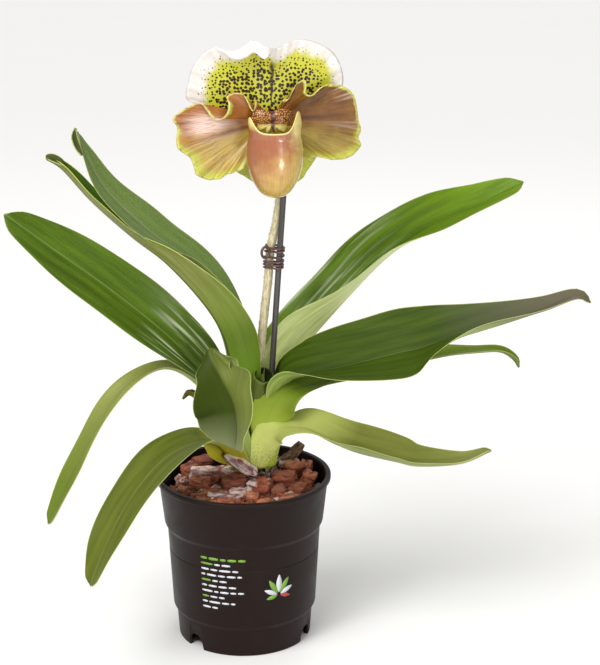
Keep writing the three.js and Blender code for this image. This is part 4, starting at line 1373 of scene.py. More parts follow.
@dataclass(frozen=True)
class Tepal:
    """A petal or sepal that spreads from an arc at the flower's middle to its margin.

    A margin point is right, up, forward and lip: how far the edge is rolled forward and down there.
    The base is from angle, to angle, radius and place behind, and bulge lifts the rays' middle.
    """

    node: str
    finish: Finish
    slot: str
    base: tuple[float, float, float, float]
    bulge: float
    margin: Rows
    ruffle: float = 0.7
    wave: float = 8.0
    rays: int = 170
    steps: int = 34
    lip_steps: int = 8
    roll: float = 1.6
    rolled_share: float = 0.4
    lip_lean: float = 0.25
    centre: Place = FLOWER_CENTRE
    middle: float = 1.3
    thin: float = 0.55

    def point(self, right: float, up: float, forward: float) -> Vector:
        """A place of the flower in the frame's axes."""
        x, y, z = self.centre
        return Vector((x + right, y - forward, z + up))

    def rolled(self, foot: Vector, tip: Vector, lip: float, share: float) -> Place:
        """A place on the lip that is rolled forward from the margin.

        Args:
            foot: right and up at the ray's foot.
            tip: right, up and forward at the fold.
            lip: length of the lip that hangs over.
            share: from 0 at the fold to 1 at the edge.

        Returns:
            Right, up and forward.
        """
        out = Vector((tip.x - foot.x, tip.y - foot.y)).normalized()
        radius = min(self.roll, lip / 3) + 0.02
        turn = min(share / self.rolled_share, 1.0) * math.pi
        down = max(share - self.rolled_share, 0.0) / (1 - self.rolled_share) * lip
        reach = radius * math.sin(turn) - down
        ahead = radius * (1 - math.cos(turn)) + down * self.lip_lean
        return tip.x + out.x * reach, tip.y + out.y * reach, tip.z + ahead

    def skin(self) -> Skin:
        """The sheet of points with its marks."""
        start, end, radius, behind = self.base
        heading = (start + end) / 2
        rows = self.steps + self.lip_steps + 1
        points: list[list[Vector]] = [[] for _ in range(rows)]
        rays: list[list[Vector]] = [[] for _ in range(rows)]
        flats: list[list[Vector]] = [[] for _ in range(rows)]
        arc, before = 0.0, None
        for j in range(self.rays + 1):
            share = j / self.rays
            right, up, forward, lip = row_at(self.margin, share * (len(self.margin) - 1))
            here = Vector((right, up))
            arc += (here - before).length if before else 0.0
            before = here
            foot = Vector(polar(mix(start, end, share), radius))
            length = (here - foot).length
            lip = max(lip, 0.0)
            for i in range(rows):
                # The lean comes in towards the margin, and the ruffle in the last part of a ray.
                t = min(i / self.steps, 1.0)
                lean = behind + forward * t**2.2 + self.bulge * 2 * t * (1 - t)
                turn = 2 * math.pi * arc / self.wave
                wavy = self.ruffle * t**5 * (math.sin(turn) + 0.6 * math.sin(2.3 * turn + 1))
                place = (mix(foot.x, right, t), mix(foot.y, up, t), lean + wavy)
                edge = (1 - t) * length + lip
                if i > self.steps:
                    over = (i - self.steps) / self.lip_steps
                    place = self.rolled(foot, Vector(place), lip, over)
                    edge = lip * (1 - over)
                turn = math.degrees(math.atan2(place[1], place[0])) - heading
                turn = (turn + 180) % 360 - 180
                points[i].append(self.point(*place))
                rays[i].append(Vector((turn, t * length + radius, edge)))
                flats[i].append(Vector((place[0], place[1], i / rows)))

        def thickness(i: int, _: int) -> float:
            """Thick at the base, thin and rounded at the edge."""
            edge = math.sqrt(max(1 - (i / (rows - 1)) ** 12, 0.05))
            return mix(self.middle, self.thin, min(i / self.steps, 1.0)) * edge

        return Skin(points, thickness, {"ray": rays, "flat": flats}, first_side=-1.0)

    def dress(self) -> None:
        """Makes the tepal and puts it in the scene."""
        sheet = self.skin().mesh(self.node)
        add_piece(self.node + "_sheet", sheet, self.finish.build(), self.node)


TEPALS = (
    Tepal(
        "dorsal_sepal",
        SepalTissue("dorsal_sepal_wax"),
        "sepal",
        (160, 20, 5, -1),
        -4,
        (
            (-33.7, 6.3, -4, 0), (-52.7, 11, -5, 0), (-55.3, 17, -4, 0), (-53.6, 24, -3, 0),
            (-51.4, 32, -1, 0), (-47, 39.6, 1, 0), (-42, 45, 3, 0), (-36.5, 47.6, 5, 0),
            (-31.3, 46.2, 7, 2), (-26.8, 45.0, 8, 4), (-21.5, 45.0, 8, 4.5), (-16.8, 47.4, 7, 5),
            (-12.8, 50.1, 5, 5.5), (-10.4, 50.8, 4, 7), (-7.4, 49.4, 6, 8), (-3.4, 47.4, 7, 6),
            (1, 46.8, 6, 1.5), (4.6, 46.8, 4, 0), (10.1, 49.5, 2, 0), (16.6, 51.9, 1, 0),
            (21.8, 52.0, 0, 0), (29, 50.3, 0, 0), (37.5, 46, -1, 0), (43.4, 39.6, -2, 0),
            (47, 30.3, -3, 0), (47.2, 21.5, -4, 0), (42, 12, -5, 0), (30.3, 6.3, -4, 0),
        ),
        ruffle=0.5,
        wave=14,
    ),
    Tepal(
        "petal_left",
        PetalTissue(
            "petal_left_wax", brown="a86a28", dusk="905220", tan="b0983c", vein_angle=20, low_side=1,
            low_strength=0.85, painted_sheen_place=(8.0, 41.0, 1.0),
        ),
        "petal",
        (215, 135, 4.4, 2),
        3,
        (
            (-5.8, -8.5, 3, 0), (-11.1, -19.3, 5, 0), (-16.5, -29.0, 8, 0), (-25.0, -32.9, 10, 0),
            (-28.9, -33.8, 11, 0), (-33.6, -36.4, 12, 0), (-41.5, -37.7, 9, 0), (-48.8, -33.6, 12, 0),
            (-50.5, -28.9, 9, 0), (-53.0, -22.9, 9, 0), (-60.0, -17.2, 11, 0), (-61.6, -12.3, 9, 0),
            (-61, -3.4, 7, 0), (-63.6, 2.2, 9, 0), (-60.3, 5.8, 8, 0), (-53.2, 10.1, 6, 0),
            (-45.6, 12.0, 6, 0), (-41.8, 8.4, 9, 0), (-37.6, 3.6, 12, 0), (-32.4, 3.0, 13, 0),
            (-28.2, 7.1, 12, 0), (-27.4, 12.4, 9, 0), (-28.4, 16.5, 7, 0), (-24.5, 18.5, 6, 0),
            (-19.3, 18.3, 5, 0), (-16.1, 15.1, 6, 0), (-13.5, 9.4, 8, 0), (-11.4, 7.4, 8, 0),
            (-10.2, 10.4, 6, 0), (-9.6, 13.8, 4, 0),
        ),
    ),
    Tepal(
        "petal_right",
        PetalTissue(
            "petal_right_wax", brown="7f5616", dusk="683c10", tan="9c8a34", vein_angle=-3, low_side=-1,
            vein="46200f", low_strength=0.8,
        ),
        "petal",
        (50, -35, 4.4, 2),
        3,
        (
            (8.0, 13.8, 3, 0), (11.9, 14.7, 4, 0), (14.6, 20.6, 5, 0), (18.4, 25.6, 5, 0),
            (22.2, 26.8, 8, 0), (22.7, 23.6, 11, 0), (22.0, 20.5, 12, 0), (24.0, 18.1, 12, 0),
            (27.9, 18.5, 11, 0), (33.2, 22.8, 8, 0), (39.2, 24.0, 6, 0), (47.0, 22.5, 5, 0),
            (53.0, 18.4, 8, 0), (55.3, 12.0, 9, 0), (56.9, 1.1, 7, 0), (58.4, -4.7, 11, 0),
            (56.8, -10.4, 9, 0), (58.6, -15.0, 9, 0), (56.0, -19.6, 8, 0), (50.3, -23.4, 10, 0),
            (42.0, -25.3, 7, 0), (34.6, -23.7, 10, 0), (28.8, -22.9, 7, 0), (24.8, -25.0, 9, 0),
            (21.6, -19.4, 6, 0), (18.3, -9.9, 3, 0),
        ),
    ),
    Tepal(
        "synsepal",
        SepalTissue(
            "synsepal_wax", lime="a3b02e", gold="b7bd45", white="c2c64a", blush="b9c04a", spotted=False
        ),
        "sepal",
        (-40, -140, 5, -1),
        0,
        (
            (14.3, -7.3, -2, 0), (26.3, -14, -1, 0), (30.3, -22.2, 1, 0), (28.4, -27.4, 2, 0),
            (24.2, -33.6, 2, 0), (19.9, -40, 1, 0), (11.3, -44.2, 4, 0), (2.3, -46.2, 2, 0),
            (-7.7, -43.8, 4, 0), (-15.4, -38.9, 1, 0), (-23.2, -33.1, 3, 0), (-25.7, -22.6, 1, 0),
            (-12.7, -7.3, -2, 0),
        ),
    ),
)


@dataclass(frozen=True)
class Pouch:
    """The slipper: levels from the toe up are up, half width, forward and half depth.

    An ear of the rim is its direction, its height and the power that narrows it. The inner face
    starts a wall above the toe, over the first levels.
    """

    right: float = 2.3
    wall: float = 1.1
    rounds: int = 96
    rings: int = 54
    rim_rings: int = 10
    rim: float = 4.6
    flare: float = 0.7
    flare_front: float = 0.6
    ear_lean: float = 0.06
    ears: tuple[Place, ...] = ((26.0, 13.0, 13.0), (162.0, 9.0, 9.0))
    toe: float = 1.5
    least: float = 0.3
    centre: Place = FLOWER_CENTRE
    levels: Rows = (
        (-48.0, 0.6, 20, 0.6), (-47.4, 4.4, 20.6, 3.4), (-45.2, 8.4, 21.4, 6.8),
        (-41.5, 11.6, 22.4, 9.4), (-34, 15.6, 22.6, 12.8), (-25, 18.1, 21.4, 14.6),
        (-15, 18.3, 19.6, 15), (-8, 17, 19, 14.5),
    )

    def ring(self, level: Sequence[float], inset: float, rise: float) -> list[Vector]:
        """One ring of the wall.

        Args:
            level: up, half width, forward and half depth.
            inset: how far inside of the outer face.
            rise: share of the rim, from 0 on the last level to 1 at the edge.

        Returns:
            Points round it, from the right through the front.
        """
        up, half, forward, depth = level
        x, y, z = self.centre
        made = []
        for k in range(self.rounds):
            angle = 2 * math.pi * k / self.rounds
            ears = 0.0
            for direction, tall, narrow in self.ears:
                ears += tall * max(0.0, math.cos(angle - math.radians(direction))) ** narrow
            flare = self.flare * rise**3 - self.ear_lean * rise * ears
            right = x + self.right + (half - inset + flare) * math.cos(angle)
            behind = y - forward - (depth - inset + self.flare_front * rise**3) * math.sin(angle)
            made.append(Vector((right, behind, z + up + rise * (self.rim + ears))))
        return made

    def dress(self) -> None:
        """Makes the pouch and puts it in the scene."""
        rings, walls, sides = [], [], []
        last = len(self.levels) - 1
        for face, inset in ((1.0, 0.0), (-1.0, self.wall)):
            run = [(last * i / self.rings, 0.0) for i in range(self.rings + 1)]
            run += [(float(last), (i + 1) / self.rim_rings) for i in range(self.rim_rings)]
            for place, rise in run if face > 0 else reversed(run):
                level = row_at(self.levels, place)
                level[1] = max(level[1], inset + self.least)
                level[3] = max(level[3], inset + self.least)
                level[0] += inset if place < self.toe and face < 0 else 0.0
                ring = self.ring(level, inset * (1 - 0.5 * rise), rise)
                rings.append(ring)
                top = self.rim * (1 - rise) + (self.levels[-1][0] - level[0])
                arc = 2 * math.pi * level[1] / self.rounds
                words = []
                for k, point in enumerate(ring):
                    around = arc * ((k + self.rounds / 4) % self.rounds - self.rounds / 2)
                    words.append(Vector((around, point.z - self.centre[2], max(top, 0))))
                walls.append(words[::-1])
                sides.append([Vector((face, 0, 0))] * self.rounds)
        loft = Loft([ring[::-1] for ring in rings], {"wall": walls, "side": sides})
        add_piece("pouch_wall", loft.mesh("pouch"), PouchTissue("pouch_wax").build(), "pouch")


SHIELD = Tepal(
    "column",
    ShieldTissue("staminode_wax"),
    "column",
    (90, -270, 0.4, 15),
    3,
    (
        (1.0, 7.0, -1, 0), (5.0, 9.0, -1, 0), (10.6, 8.6, -2, 0), (14.4, 5.0, -3, 0),
        (11.0, 0.6, -1, 0), (8.4, -5.6, 1, 0), (5.2, -2.2, 0, 0), (2.6, -6.4, 1, 0),
        (0.4, -2.0, 0, 0), (-2.6, -6.6, 1, 0), (-4.6, -1.8, 0, 0), (-7.6, -4.6, 1, 0),
        (-9.0, 0.4, -1, 0), (-12.6, 3.0, -3, 0), (-10.4, 7.8, -2, 0), (-4.0, 8.6, -1, 0),
        (1.0, 7.0, -1, 0),
    ),
    ruffle=0.0,
    rays=96,
    steps=20,
    lip_steps=2,
    middle=1.8,
    thin=1.0,
)


# ---------------------------------------------------------------- stem, stake and tie


@dataclass(frozen=True)
class Scape:
    """Flower stem with the ovary, both covered in short dark hairs."""

    route: Rows = (
        (6, 9.5, 117.5, 2.9), (9, 9.5, 155, 2.9), (14, 9, 218, 2.9), (18, 9, 255, 2.9),
        (19.4, 9, 274, 2.9), (24, 9, 296, 2.9), (26.4, 9.4, 312, 2.9),
    )
    ovary: Rows = (
        (26.4, 9.5, 312.4, 2.9), (27.4, 11, 326, 3.8), (26, 11.5, 342, 4),
        (22.8, 7, 356, 3.6), (20.4, 1, 364.5, 3), (20, -5, 366.5, 3.4),
    )
    ribs: int = 6
    rib_depth: float = 0.07
    hair_length: float = 1.1
    hair_width: float = 0.22
    rooted: float = 0.97

    def hairs(self, name: str, stations: Rows, count: int, seed: int) -> Mesh:
        """Short hairs that stand on a stem.

        Args:
            name: name of the mesh.
            stations: the stem's stations.
            count: number of hairs.
            seed: seed of their places.

        Returns:
            A mesh of three-sided spikes.
        """
        course = Course(stations)
        source = random.Random(seed)
        points, faces, marks = [], [], []
        for _ in range(count):
            share = source.random()
            x, y, z, radius = course.at(share)
            tangent = course.tangent(share)
            side = (Vector((1, 0, 0)) - tangent * tangent.x).normalized()
            angle = source.uniform(0, 2 * math.pi)
            out = side * math.cos(angle) + tangent.cross(side) * math.sin(angle)
            foot = Vector((x, y, z)) + out * (radius * self.rooted)
            lean = out + tangent * source.uniform(-0.2, 0.5) + side * source.uniform(-0.3, 0.3)
            lean.normalize()
            along = lean.cross(tangent).normalized()
            first = len(points)
            for k in range(3):
                c, s = polar(120 * k, self.hair_width / 2)
                points.append(foot + along * c + lean.cross(along) * s)
            points.append(foot + lean * self.hair_length * source.uniform(0.6, 1.1))
            faces += [(first + k, first + (k + 1) % 3, first + 3) for k in range(3)]
            marks += [Vector((first, share * course.length, 0))] * 4
        mesh = new_mesh(name, points, faces)
        mark(mesh, "bark", marks)
        return mesh

    def dress(self) -> None:
        """Makes stem, ovary and their hairs."""
        stem = tube(self.route, 32, 120)
        skin = Rind("scape_skin", light="d9d0ac", dark="b0a478", across=1.2, along=5, roughness=0.5)
        add_piece("scape", stem.mesh("scape"), skin.build(), "flower_stem")

        def ribbed(angle: float, share: float) -> float:
            """Ribs that run out at both ends."""
            return 1 + self.rib_depth * math.cos(self.ribs * angle) * math.sin(math.pi * min(share, 1))

        ovary = tube(self.ovary, 48, 60, ribbed)
        green = Rind("ovary_skin", light="8d9447", dark="5f5f2c", across=1.0, along=12, roughness=0.5)
        add_piece("ovary_body", ovary.mesh("ovary_body"), green.build(), "ovary")
        hair = Rind("stem_hairs", light="8a6a5a", dark="5c3c3c", roughness=0.6).build()
        for name, stations, count, seed, node in (
            ("scape_hairs", self.route, 2600, 11, "flower_stem"),
            ("ovary_hairs", self.ovary[:-1], 900, 12, "ovary"),
        ):
            add_piece(name, self.hairs(name, stations, count, seed), hair, node)


@dataclass(frozen=True)
class Support:
    """Plastic stake and the wire tie that holds the stem to it."""

    foot: Place = (12.2, 9.4, 68)
    head: Place = (29.9, 2.3, 338)
    radius: float = 2.1
    wire: float = 0.72
    slack: float = 0.15
    per_turn: int = 30
    winding: Rows = (
        (0.55, 263.4), (1.5, 265.2), (2.5, 267.2), (3.5, 270.4), (4.5, 274.4), (5.5, 276.9),
        (6.6, 278.6),
    )
    loop: Place = (16.2, 4.5, 274.4)
    loop_size: Place = (2.6, 1.2, 3.8)
    loop_wire: float = 1.3

    def tie_route(self, stem: Rows) -> Rows:
        """Stations of the wire round stem and stake.

        Args:
            stem: the stem's stations.

        Returns:
            Rows of x, y, z, radius.
        """
        course = Course(stem)
        made = []
        first, last = self.winding[0][0], self.winding[-1][0]
        steps = round((last - first) * self.per_turn)
        for k in range(steps + 1):
            turn, z = row_at(self.winding, (len(self.winding) - 1) * k / steps)
            angle = 2 * math.pi * turn
            direction = Vector((math.cos(angle), math.sin(angle)))
            share = (z - self.foot[2]) / (self.head[2] - self.foot[2])
            stake = Vector([mix(self.foot[k], self.head[k], share) for k in (0, 1)])
            step = (z - stem[0][2]) / (stem[-1][2] - stem[0][2])
            x, y, _, radius = course.at(step)
            off = self.slack + self.wire
            ends = (stake + direction * (self.radius + off), Vector((x, y)) + direction * (radius + off))
            point = max(ends, key=direction.dot)
            made.append([point.x, point.y, z, self.wire])
        return made

    def dress(self, stem: Rows) -> None:
        """Makes stake and tie.

        Args:
            stem: the stem's stations.
        """
        rod = tube([(*self.foot, self.radius), (*self.head, self.radius)], 32, 40)
        drawn_out = {"across": 3, "along": 40, "relief": 0.05}
        grey = Rind("stake_plastic", light="4a4545", dark="38342f", roughness=0.22, **drawn_out)
        add_piece("stake_rod", rod.mesh("stake_rod"), grey.build(), "stake")
        route = self.tie_route(stem)
        wires = [tube(route, 10, len(route)).mesh("winding")]
        x, y, z = self.loop
        ring = []
        wide, deep, tall = self.loop_size
        for k in range(25):
            c, s = polar(15 * k)
            ring.append((x + wide * c, y + deep * c, z + tall * s, self.loop_wire * self.wire))
        wires.append(tube(ring, 10, 48).mesh("loop"))
        drawn_out = {"across": 2, "along": 20, "relief": 0.05}
        brown = Rind("tie_plastic", light="6a4c48", dark="3f2c2c", roughness=0.25, **drawn_out)
        add_piece("tie_wire", joined("tie_wire", wires), brown.build(), "tie")


# ---------------------------------------------------------------- pot and bark


@dataclass(frozen=True)
class Pot:
    """Nursery pot: lip, collar, step, body and notched foot band."""

    height: float = 118.0
    rim: float = 60.8
    lip: float = 3.5
    collar_top: float = 58.8
    collar_bottom: float = 55.4
    collar_height: float = 35.0
    body_top: float = 53.4
    body_bottom: float = 50.1
    slope: float = 1.5
    skirt: float = 21.5
    skirt_top: float = 47.8
    foot: float = 46.4
    wall: float = 1.6
    floor: float = 2.0
    lift: float = 2.5
    foot_ring: float = 3.0
    notches: tuple[float, ...] = (223.0, 335.0, 98.0)
    notch_width: float = 14.5
    notch_height: float = 10.5
    notch_depth: float = 9.0
    notch_round: float = 2.0
    notch_reach: float = 4.0
    rings: tuple[float, ...] = (66.0,)
    ring_half: float = 0.7
    ring_depth: float = 0.35
    edge: float = 0.9
    hole: float = 0.5
    sides: int = 160

    def section(self) -> Profile:
        """Outline up the outside and down the inside."""
        step = self.height - self.collar_height
        outside = [
            (self.foot - self.foot_ring, self.lift),
            (self.foot - self.foot_ring, 0.0),
            (self.foot, 0.0),
            (self.skirt_top, self.skirt - self.slope),
            (self.body_bottom, self.skirt + self.slope),
        ]
        for ring in self.rings:
            share = (ring - self.skirt) / (step - self.skirt)
            radius = mix(self.body_bottom, self.body_top, share)
            outside += [(radius, ring - self.ring_half), (radius - self.ring_depth, ring)]
            outside.append((radius, ring + self.ring_half))
        outside += [
            (self.body_top, step - self.slope),
            (self.collar_bottom, step + self.slope),
            (self.collar_top, self.height - self.lip),
            (self.rim, self.height - self.lip),
            (self.rim, self.height),
            (self.collar_top - self.wall, self.height),
            (self.collar_bottom - self.wall, step + self.slope),
            (self.body_top - self.wall, step - self.slope),
            (self.body_bottom - self.wall, self.skirt + self.slope),
            (self.skirt_top - self.wall, self.skirt - self.slope),
            (self.foot - self.wall, self.lift + self.floor),
            (self.hole, self.lift + self.floor),
        ]
        return [(self.hole, self.lift)] + filleted(outside, self.edge)

    def cutter(self, direction: float) -> bpy.types.Object:
        """Arched block that cuts one drain notch."""
        half, tall = self.notch_width / 2, self.notch_height
        side = [(half, -1.0), (half * 0.8, tall * 0.7), (half * 0.35, tall)]
        outline = filleted([(-a, b) for a, b in side] + side[::-1], self.notch_round)
        turn = Matrix.Rotation(math.radians(direction), 4, "Z")
        rings = []
        for depth in (self.body_bottom - self.notch_depth, self.body_bottom + self.notch_reach):
            rings.append([turn @ Vector((depth, a, b)) for a, b in reversed(outline)])
        return placed("notch", Loft(rings).mesh("notch"))

    def dress(self) -> None:
        """Makes the pot with its notches."""
        rings = []
        for radius, height in self.section():
            places = [polar(360 * k / self.sides, radius) for k in range(self.sides)]
            rings.append([Vector((*place, height)) for place in places])
        pot = placed("pot_raw", Loft(rings).mesh("pot"))
        blocks = [self.cutter(direction) for direction in self.notches]
        for block in blocks:
            cut = pot.modifiers.new("notch", "BOOLEAN")
            cut.operation = "DIFFERENCE"
            cut.solver = "EXACT"
            cut.object = block
        bpy.context.view_layer.update()
        graph = bpy.context.evaluated_depsgraph_get()
        made = bpy.data.meshes.new_from_object(pot.evaluated_get(graph))
        made.name = "pot_wall"
        for spare in (pot, *blocks):
            bpy.data.objects.remove(spare)
        add_piece("pot_shell", made, MouldedPlastic("pot_polypropylene").build(), "pot")


@dataclass(frozen=True)
class Print:
    """Plain decoration printed on the pot: rows of dashes and a sprig of leaves, without any words."""

    pot: Pot = Pot()
    proud: float = 0.12
    start: float = 236.0
    top: float = 74.0
    pitch: float = 4.1
    dash: float = 1.5
    heading: float = 1.3
    gap: float = 1.3
    blunt: float = 0.7
    rows: Rows = (
        (5, 7, 4, 6, 5), (9, 4, 6), (6, 5, 8, 4), (3, 7, 5, 6, 3), (7, 4, 5),
        (4, 6, 6, 5), (8, 3, 6, 4, 4), (5, 5, 4), (4, 8, 5, 3), (6, 4),
    )
    sprig: tuple[float, float] = (297.0, 46.0)
    leaves: Rows = (
        (90, 13, 4.2, 0), (58, 12, 3.8, 1), (122, 12, 3.8, 1), (24, 10, 3.4, 0), (156, 10, 3.4, 0),
        (-14, 8, 3.0, 2), (194, 8, 3.0, 1),
    )

    def on_wall(self, angle: float, along: float, height: float, out: float) -> Vector:
        """Place on the wall, from a direction and millimetres round from it."""
        step = self.pot.height - self.pot.collar_height
        share = (height - self.pot.skirt) / (step - self.pot.skirt)
        radius = mix(self.pot.body_bottom, self.pot.body_top, share)
        x, y = polar(angle + math.degrees(along / radius), radius + out)
        return Vector((x, y, height))

    def ribbon(self, angle: float, pairs: Sequence[Profile]) -> Mesh:
        """A thin patch of ink between pairs of places.

        Args:
            angle: direction that the places are measured from.
            pairs: for each step, the place below and the place above, as millimetres round and up.

        Returns:
            The closed mesh.
        """
        rings = []
        for low, high in pairs:
            corners = ((low, -self.proud), (high, -self.proud), (high, self.proud), (low, self.proud))
            rings.append([self.on_wall(angle, *place, out) for place, out in corners])
        return Loft(rings).mesh("ink")

    def dashes(self) -> dict[int, list[Mesh]]:
        """Rows of dashes by colour: the first row and each third row's first dash in green."""
        made: dict[int, list[Mesh]] = {0: [], 1: []}
        for i, row in enumerate(self.rows):
            height = self.top - i * self.pitch
            place = 0.0
            tall = self.dash * (self.heading if i == 0 else 1.0) / 2
            for k, length in enumerate(row):
                steps = max(2, round(length / 2))
                pairs = []
                for step in range(steps + 1):
                    along = place + length * step / steps
                    half = tall * (self.blunt if step in (0, steps) else 1.0)
                    pairs.append([(along, height - half), (along, height + half)])
                colour = 1 if i == 0 or (k == 0 and i % 3 == 1) else 0
                made[colour].append(self.ribbon(self.start, pairs))
                place += length + self.gap
        return made

    def leaf(self, lean: float, length: float, width: float, steps: int = 8) -> Mesh:
        """One leaf of the sprig.

        Args:
            lean: direction that it points in, in degrees from the right.
            length: its length.
            width: its width at the middle.
            steps: places along it.

        Returns:
            The closed mesh.
        """
        angle, height = self.sprig
        along, up = polar(lean)
        pairs = []
        for step in range(steps + 1):
            t = step / steps
            half = width / 2 * math.sin(math.pi * min(max(t, 0.03), 0.97)) ** 0.8
            x, z = along * length * (0.15 + t), height + up * length * (0.15 + t)
            pairs.append([(x + up * half, z - along * half), (x - up * half, z + along * half)])
        return self.ribbon(angle, pairs)

    def dress(self) -> None:
        """Prints rows and sprig in white, green and red."""
        inks = self.dashes()
        inks[2] = []
        for lean, length, width, colour in self.leaves:
            inks[int(colour)].append(self.leaf(lean, length, width))
        for key, (name, code) in enumerate((("white", "c9ccd2"), ("green", "6f9a2e"), ("red", "a83a34"))):
            ink = Paint(f"ink_{name}", colour=code, second=code, roughness=0.5).build()
            add_piece(f"pot_print_{name}", joined(f"print_{name}", inks[key]), ink, "pot")


@dataclass(frozen=True)
class Bed:
    """Bark mix: a bed with chips of many sizes on it, the bed painted dark as the shade between them."""

    radius: float = 53.5
    edge: float = 103.0
    middle: float = 110.0
    crown: tuple[float, float] = (7, 9)
    clear: float = 17.0
    below: float = 3.5
    seed: int = 715
    chips: int = 260
    corners: int = 11
    worn: int = 2
    large: Rows = (
        (-1, -13, 129, 28, 10, 6, -19, 20, 1.0, 30), (-9, 3, 114, 22, 9, 10, -48, 25, 1.0),
        (9, -14, 114, 13, 8, 8, -35, 25, 0.9), (-27, 10, 113.5, 23, 10, 9, 5, 14, 1.0),
        (-31, -5, 111, 17, 13, 13, -20, 8, 0.3), (-7, -8, 112, 21, 15, 15, 10, 8, 0.15),
        (-29, 32, 114, 16, 11, 10, 30, 12, 0.35), (-38, 19, 112, 14, 11, 11, 60, 10, 0.2),
        (13, -15, 111.5, 16, 13, 14, -30, 16, 0.5), (28, -2, 113, 21, 14, 14, -15, 14, 0.0),
        (35, 15, 114, 15, 11, 12, 40, 20, 0.15), (45, 2, 111, 13, 12, 13, 70, 15, 0.0),
        (32, 25, 115, 18, 10, 8, 10, 15, 1.0), (20, 30, 114, 14, 9, 8, -20, 15, 0.8),
        (-17, -22, 108.5, 18, 8, 7, 8, 8, 1.0), (-42, 4, 109.5, 11, 9, 9, 40, 10, 0.7),
        (-3, -21, 109, 14, 8, 9, -20, 14, 0.9), (6, -25, 108, 10, 9, 9, 0, 12, 0.5),
        (23, -17, 108.5, 14, 11, 10, 25, 10, 0.1), (38, -11, 108.5, 14, 11, 10, -30, 12, 0.3),
        (-19, 2, 112, 12, 10, 10, 50, 20, 0.3), (44, 22, 113, 13, 10, 10, 80, 10, 0.2),
        (-42, -12, 108, 12, 10, 10, 100, 10, 0.4), (-28, -24, 107.5, 14, 10, 9, 30, 10, 0.5),
        (-12, -36, 107.5, 15, 10, 10, 0, 14, 0.2), (14, -38, 107.5, 14, 10, 10, 40, 14, 0.0),
        (31, -29, 107.5, 15, 10, 9, -20, 10, 0.3),
    )
    stub: Rows = (
        (24, 25, 113, 2.4), (30, 26, 118, 3.4), (35, 26.5, 120.5, 3.2), (38, 27, 124, 3.6),
        (41, 27, 129, 2.6),
    )

    def height(self, distance: float) -> float:
        """Height of the bed at a distance from the axis."""
        return mix(self.middle, self.edge, min(distance / self.radius, 1.0) ** 1.5)

    def chip(self, place: Sequence[float], source: random.Random, cuts: int) -> Mesh:
        """One angular chip of bark.

        Args:
            place: x, y, z, length, width, height, turn, tilt, share of crust and, for a piece that
                leans on the plant, the angle that its far end is lower by.
            source: random numbers.
            cuts: subdivisions of each side.

        Returns:
            A mesh with its own tone and grain.
        """
        x, y, z, length, width, height, turn, tilt, crust, *lean = place
        work = bmesh.new()
        for corner in range(self.corners):
            signs = [1 if corner & bit else -1 for bit in (1, 2, 4)]
            spread = (0.62, 1.0) if corner < 8 else (0.0, 1.05)
            parts = [sign * source.uniform(*spread) / 2 for sign in signs]
            work.verts.new((parts[0] * length, parts[1] * width, parts[2] * height))
        hull = bmesh.ops.convex_hull(work, input=work.verts[:])
        inner = [item for item in hull["geom_interior"] if isinstance(item, bmesh.types.BMVert)]
        bmesh.ops.delete(work, geom=inner, context="VERTS")
        bmesh.ops.subdivide_edges(work, edges=work.edges[:], cuts=cuts, use_grid_fill=True)
        for _ in range(self.worn):
            bmesh.ops.smooth_vert(work, verts=work.verts[:], factor=0.5, **EVERY_AXIS)
        shift = Vector((source.uniform(0, 90), source.uniform(0, 90), source.uniform(0, 90)))
        work.normal_update()
        grains, moves = [], []
        for vertex in work.verts:
            # Lumps are about 4.5 mm long, and layers just over 1 mm thick.
            lump = noise.fractal(vertex.co * 0.22 + shift, 0.8, 2.1, 4)
            layer = noise.noise(vertex.co * Vector((0.1, 0.2, 0.8)) + shift)
            moves.append(vertex.normal * (lump * 0.9 + layer * 0.8) * min(width, height) * 0.11)
            grains.append(vertex.co + shift)
        for vertex, move in zip(work.verts, moves):
            vertex.co += move
        place_it = Matrix.Scale(MM, 4) @ Matrix.Translation((x, y, z))
        for angle, axis in ((turn, "Z"), (sum(lean), "Y"), (tilt, "X")):
            place_it @= Matrix.Rotation(math.radians(angle), 4, axis)
        work.transform(place_it)
        mesh = bpy.data.meshes.new("chip")
        work.to_mesh(mesh)
        work.free()
        mark(mesh, "grain", grains)
        mark(mesh, "chip", [Vector((source.random(), crust, source.random()))] * len(mesh.vertices))
        return mesh

    def loose(self, source: random.Random) -> list[list[float]]:
        """Places of the small chips, spread over the bed in a spiral."""
        made = []
        for k in range(self.chips):
            distance = (self.radius - 2.5) * math.sqrt((k + 0.5) / self.chips)
            x, y = polar(GOLDEN_ANGLE * k, distance)
            if math.hypot(x - self.crown[0], y - self.crown[1]) < self.clear:
                continue
            size = source.uniform(2.6, 6.0)
            sizes = (size * 2.0, size * 1.4, size * 1.1)
            crust = source.choice((0.0, 0.2, 0.4, 0.7, 1.0))
            level = self.height(distance) + source.uniform(-1.5, 1.5)
            made.append([x, y, level, *sizes, source.uniform(0, 360), source.uniform(-40, 40), crust])
        return made

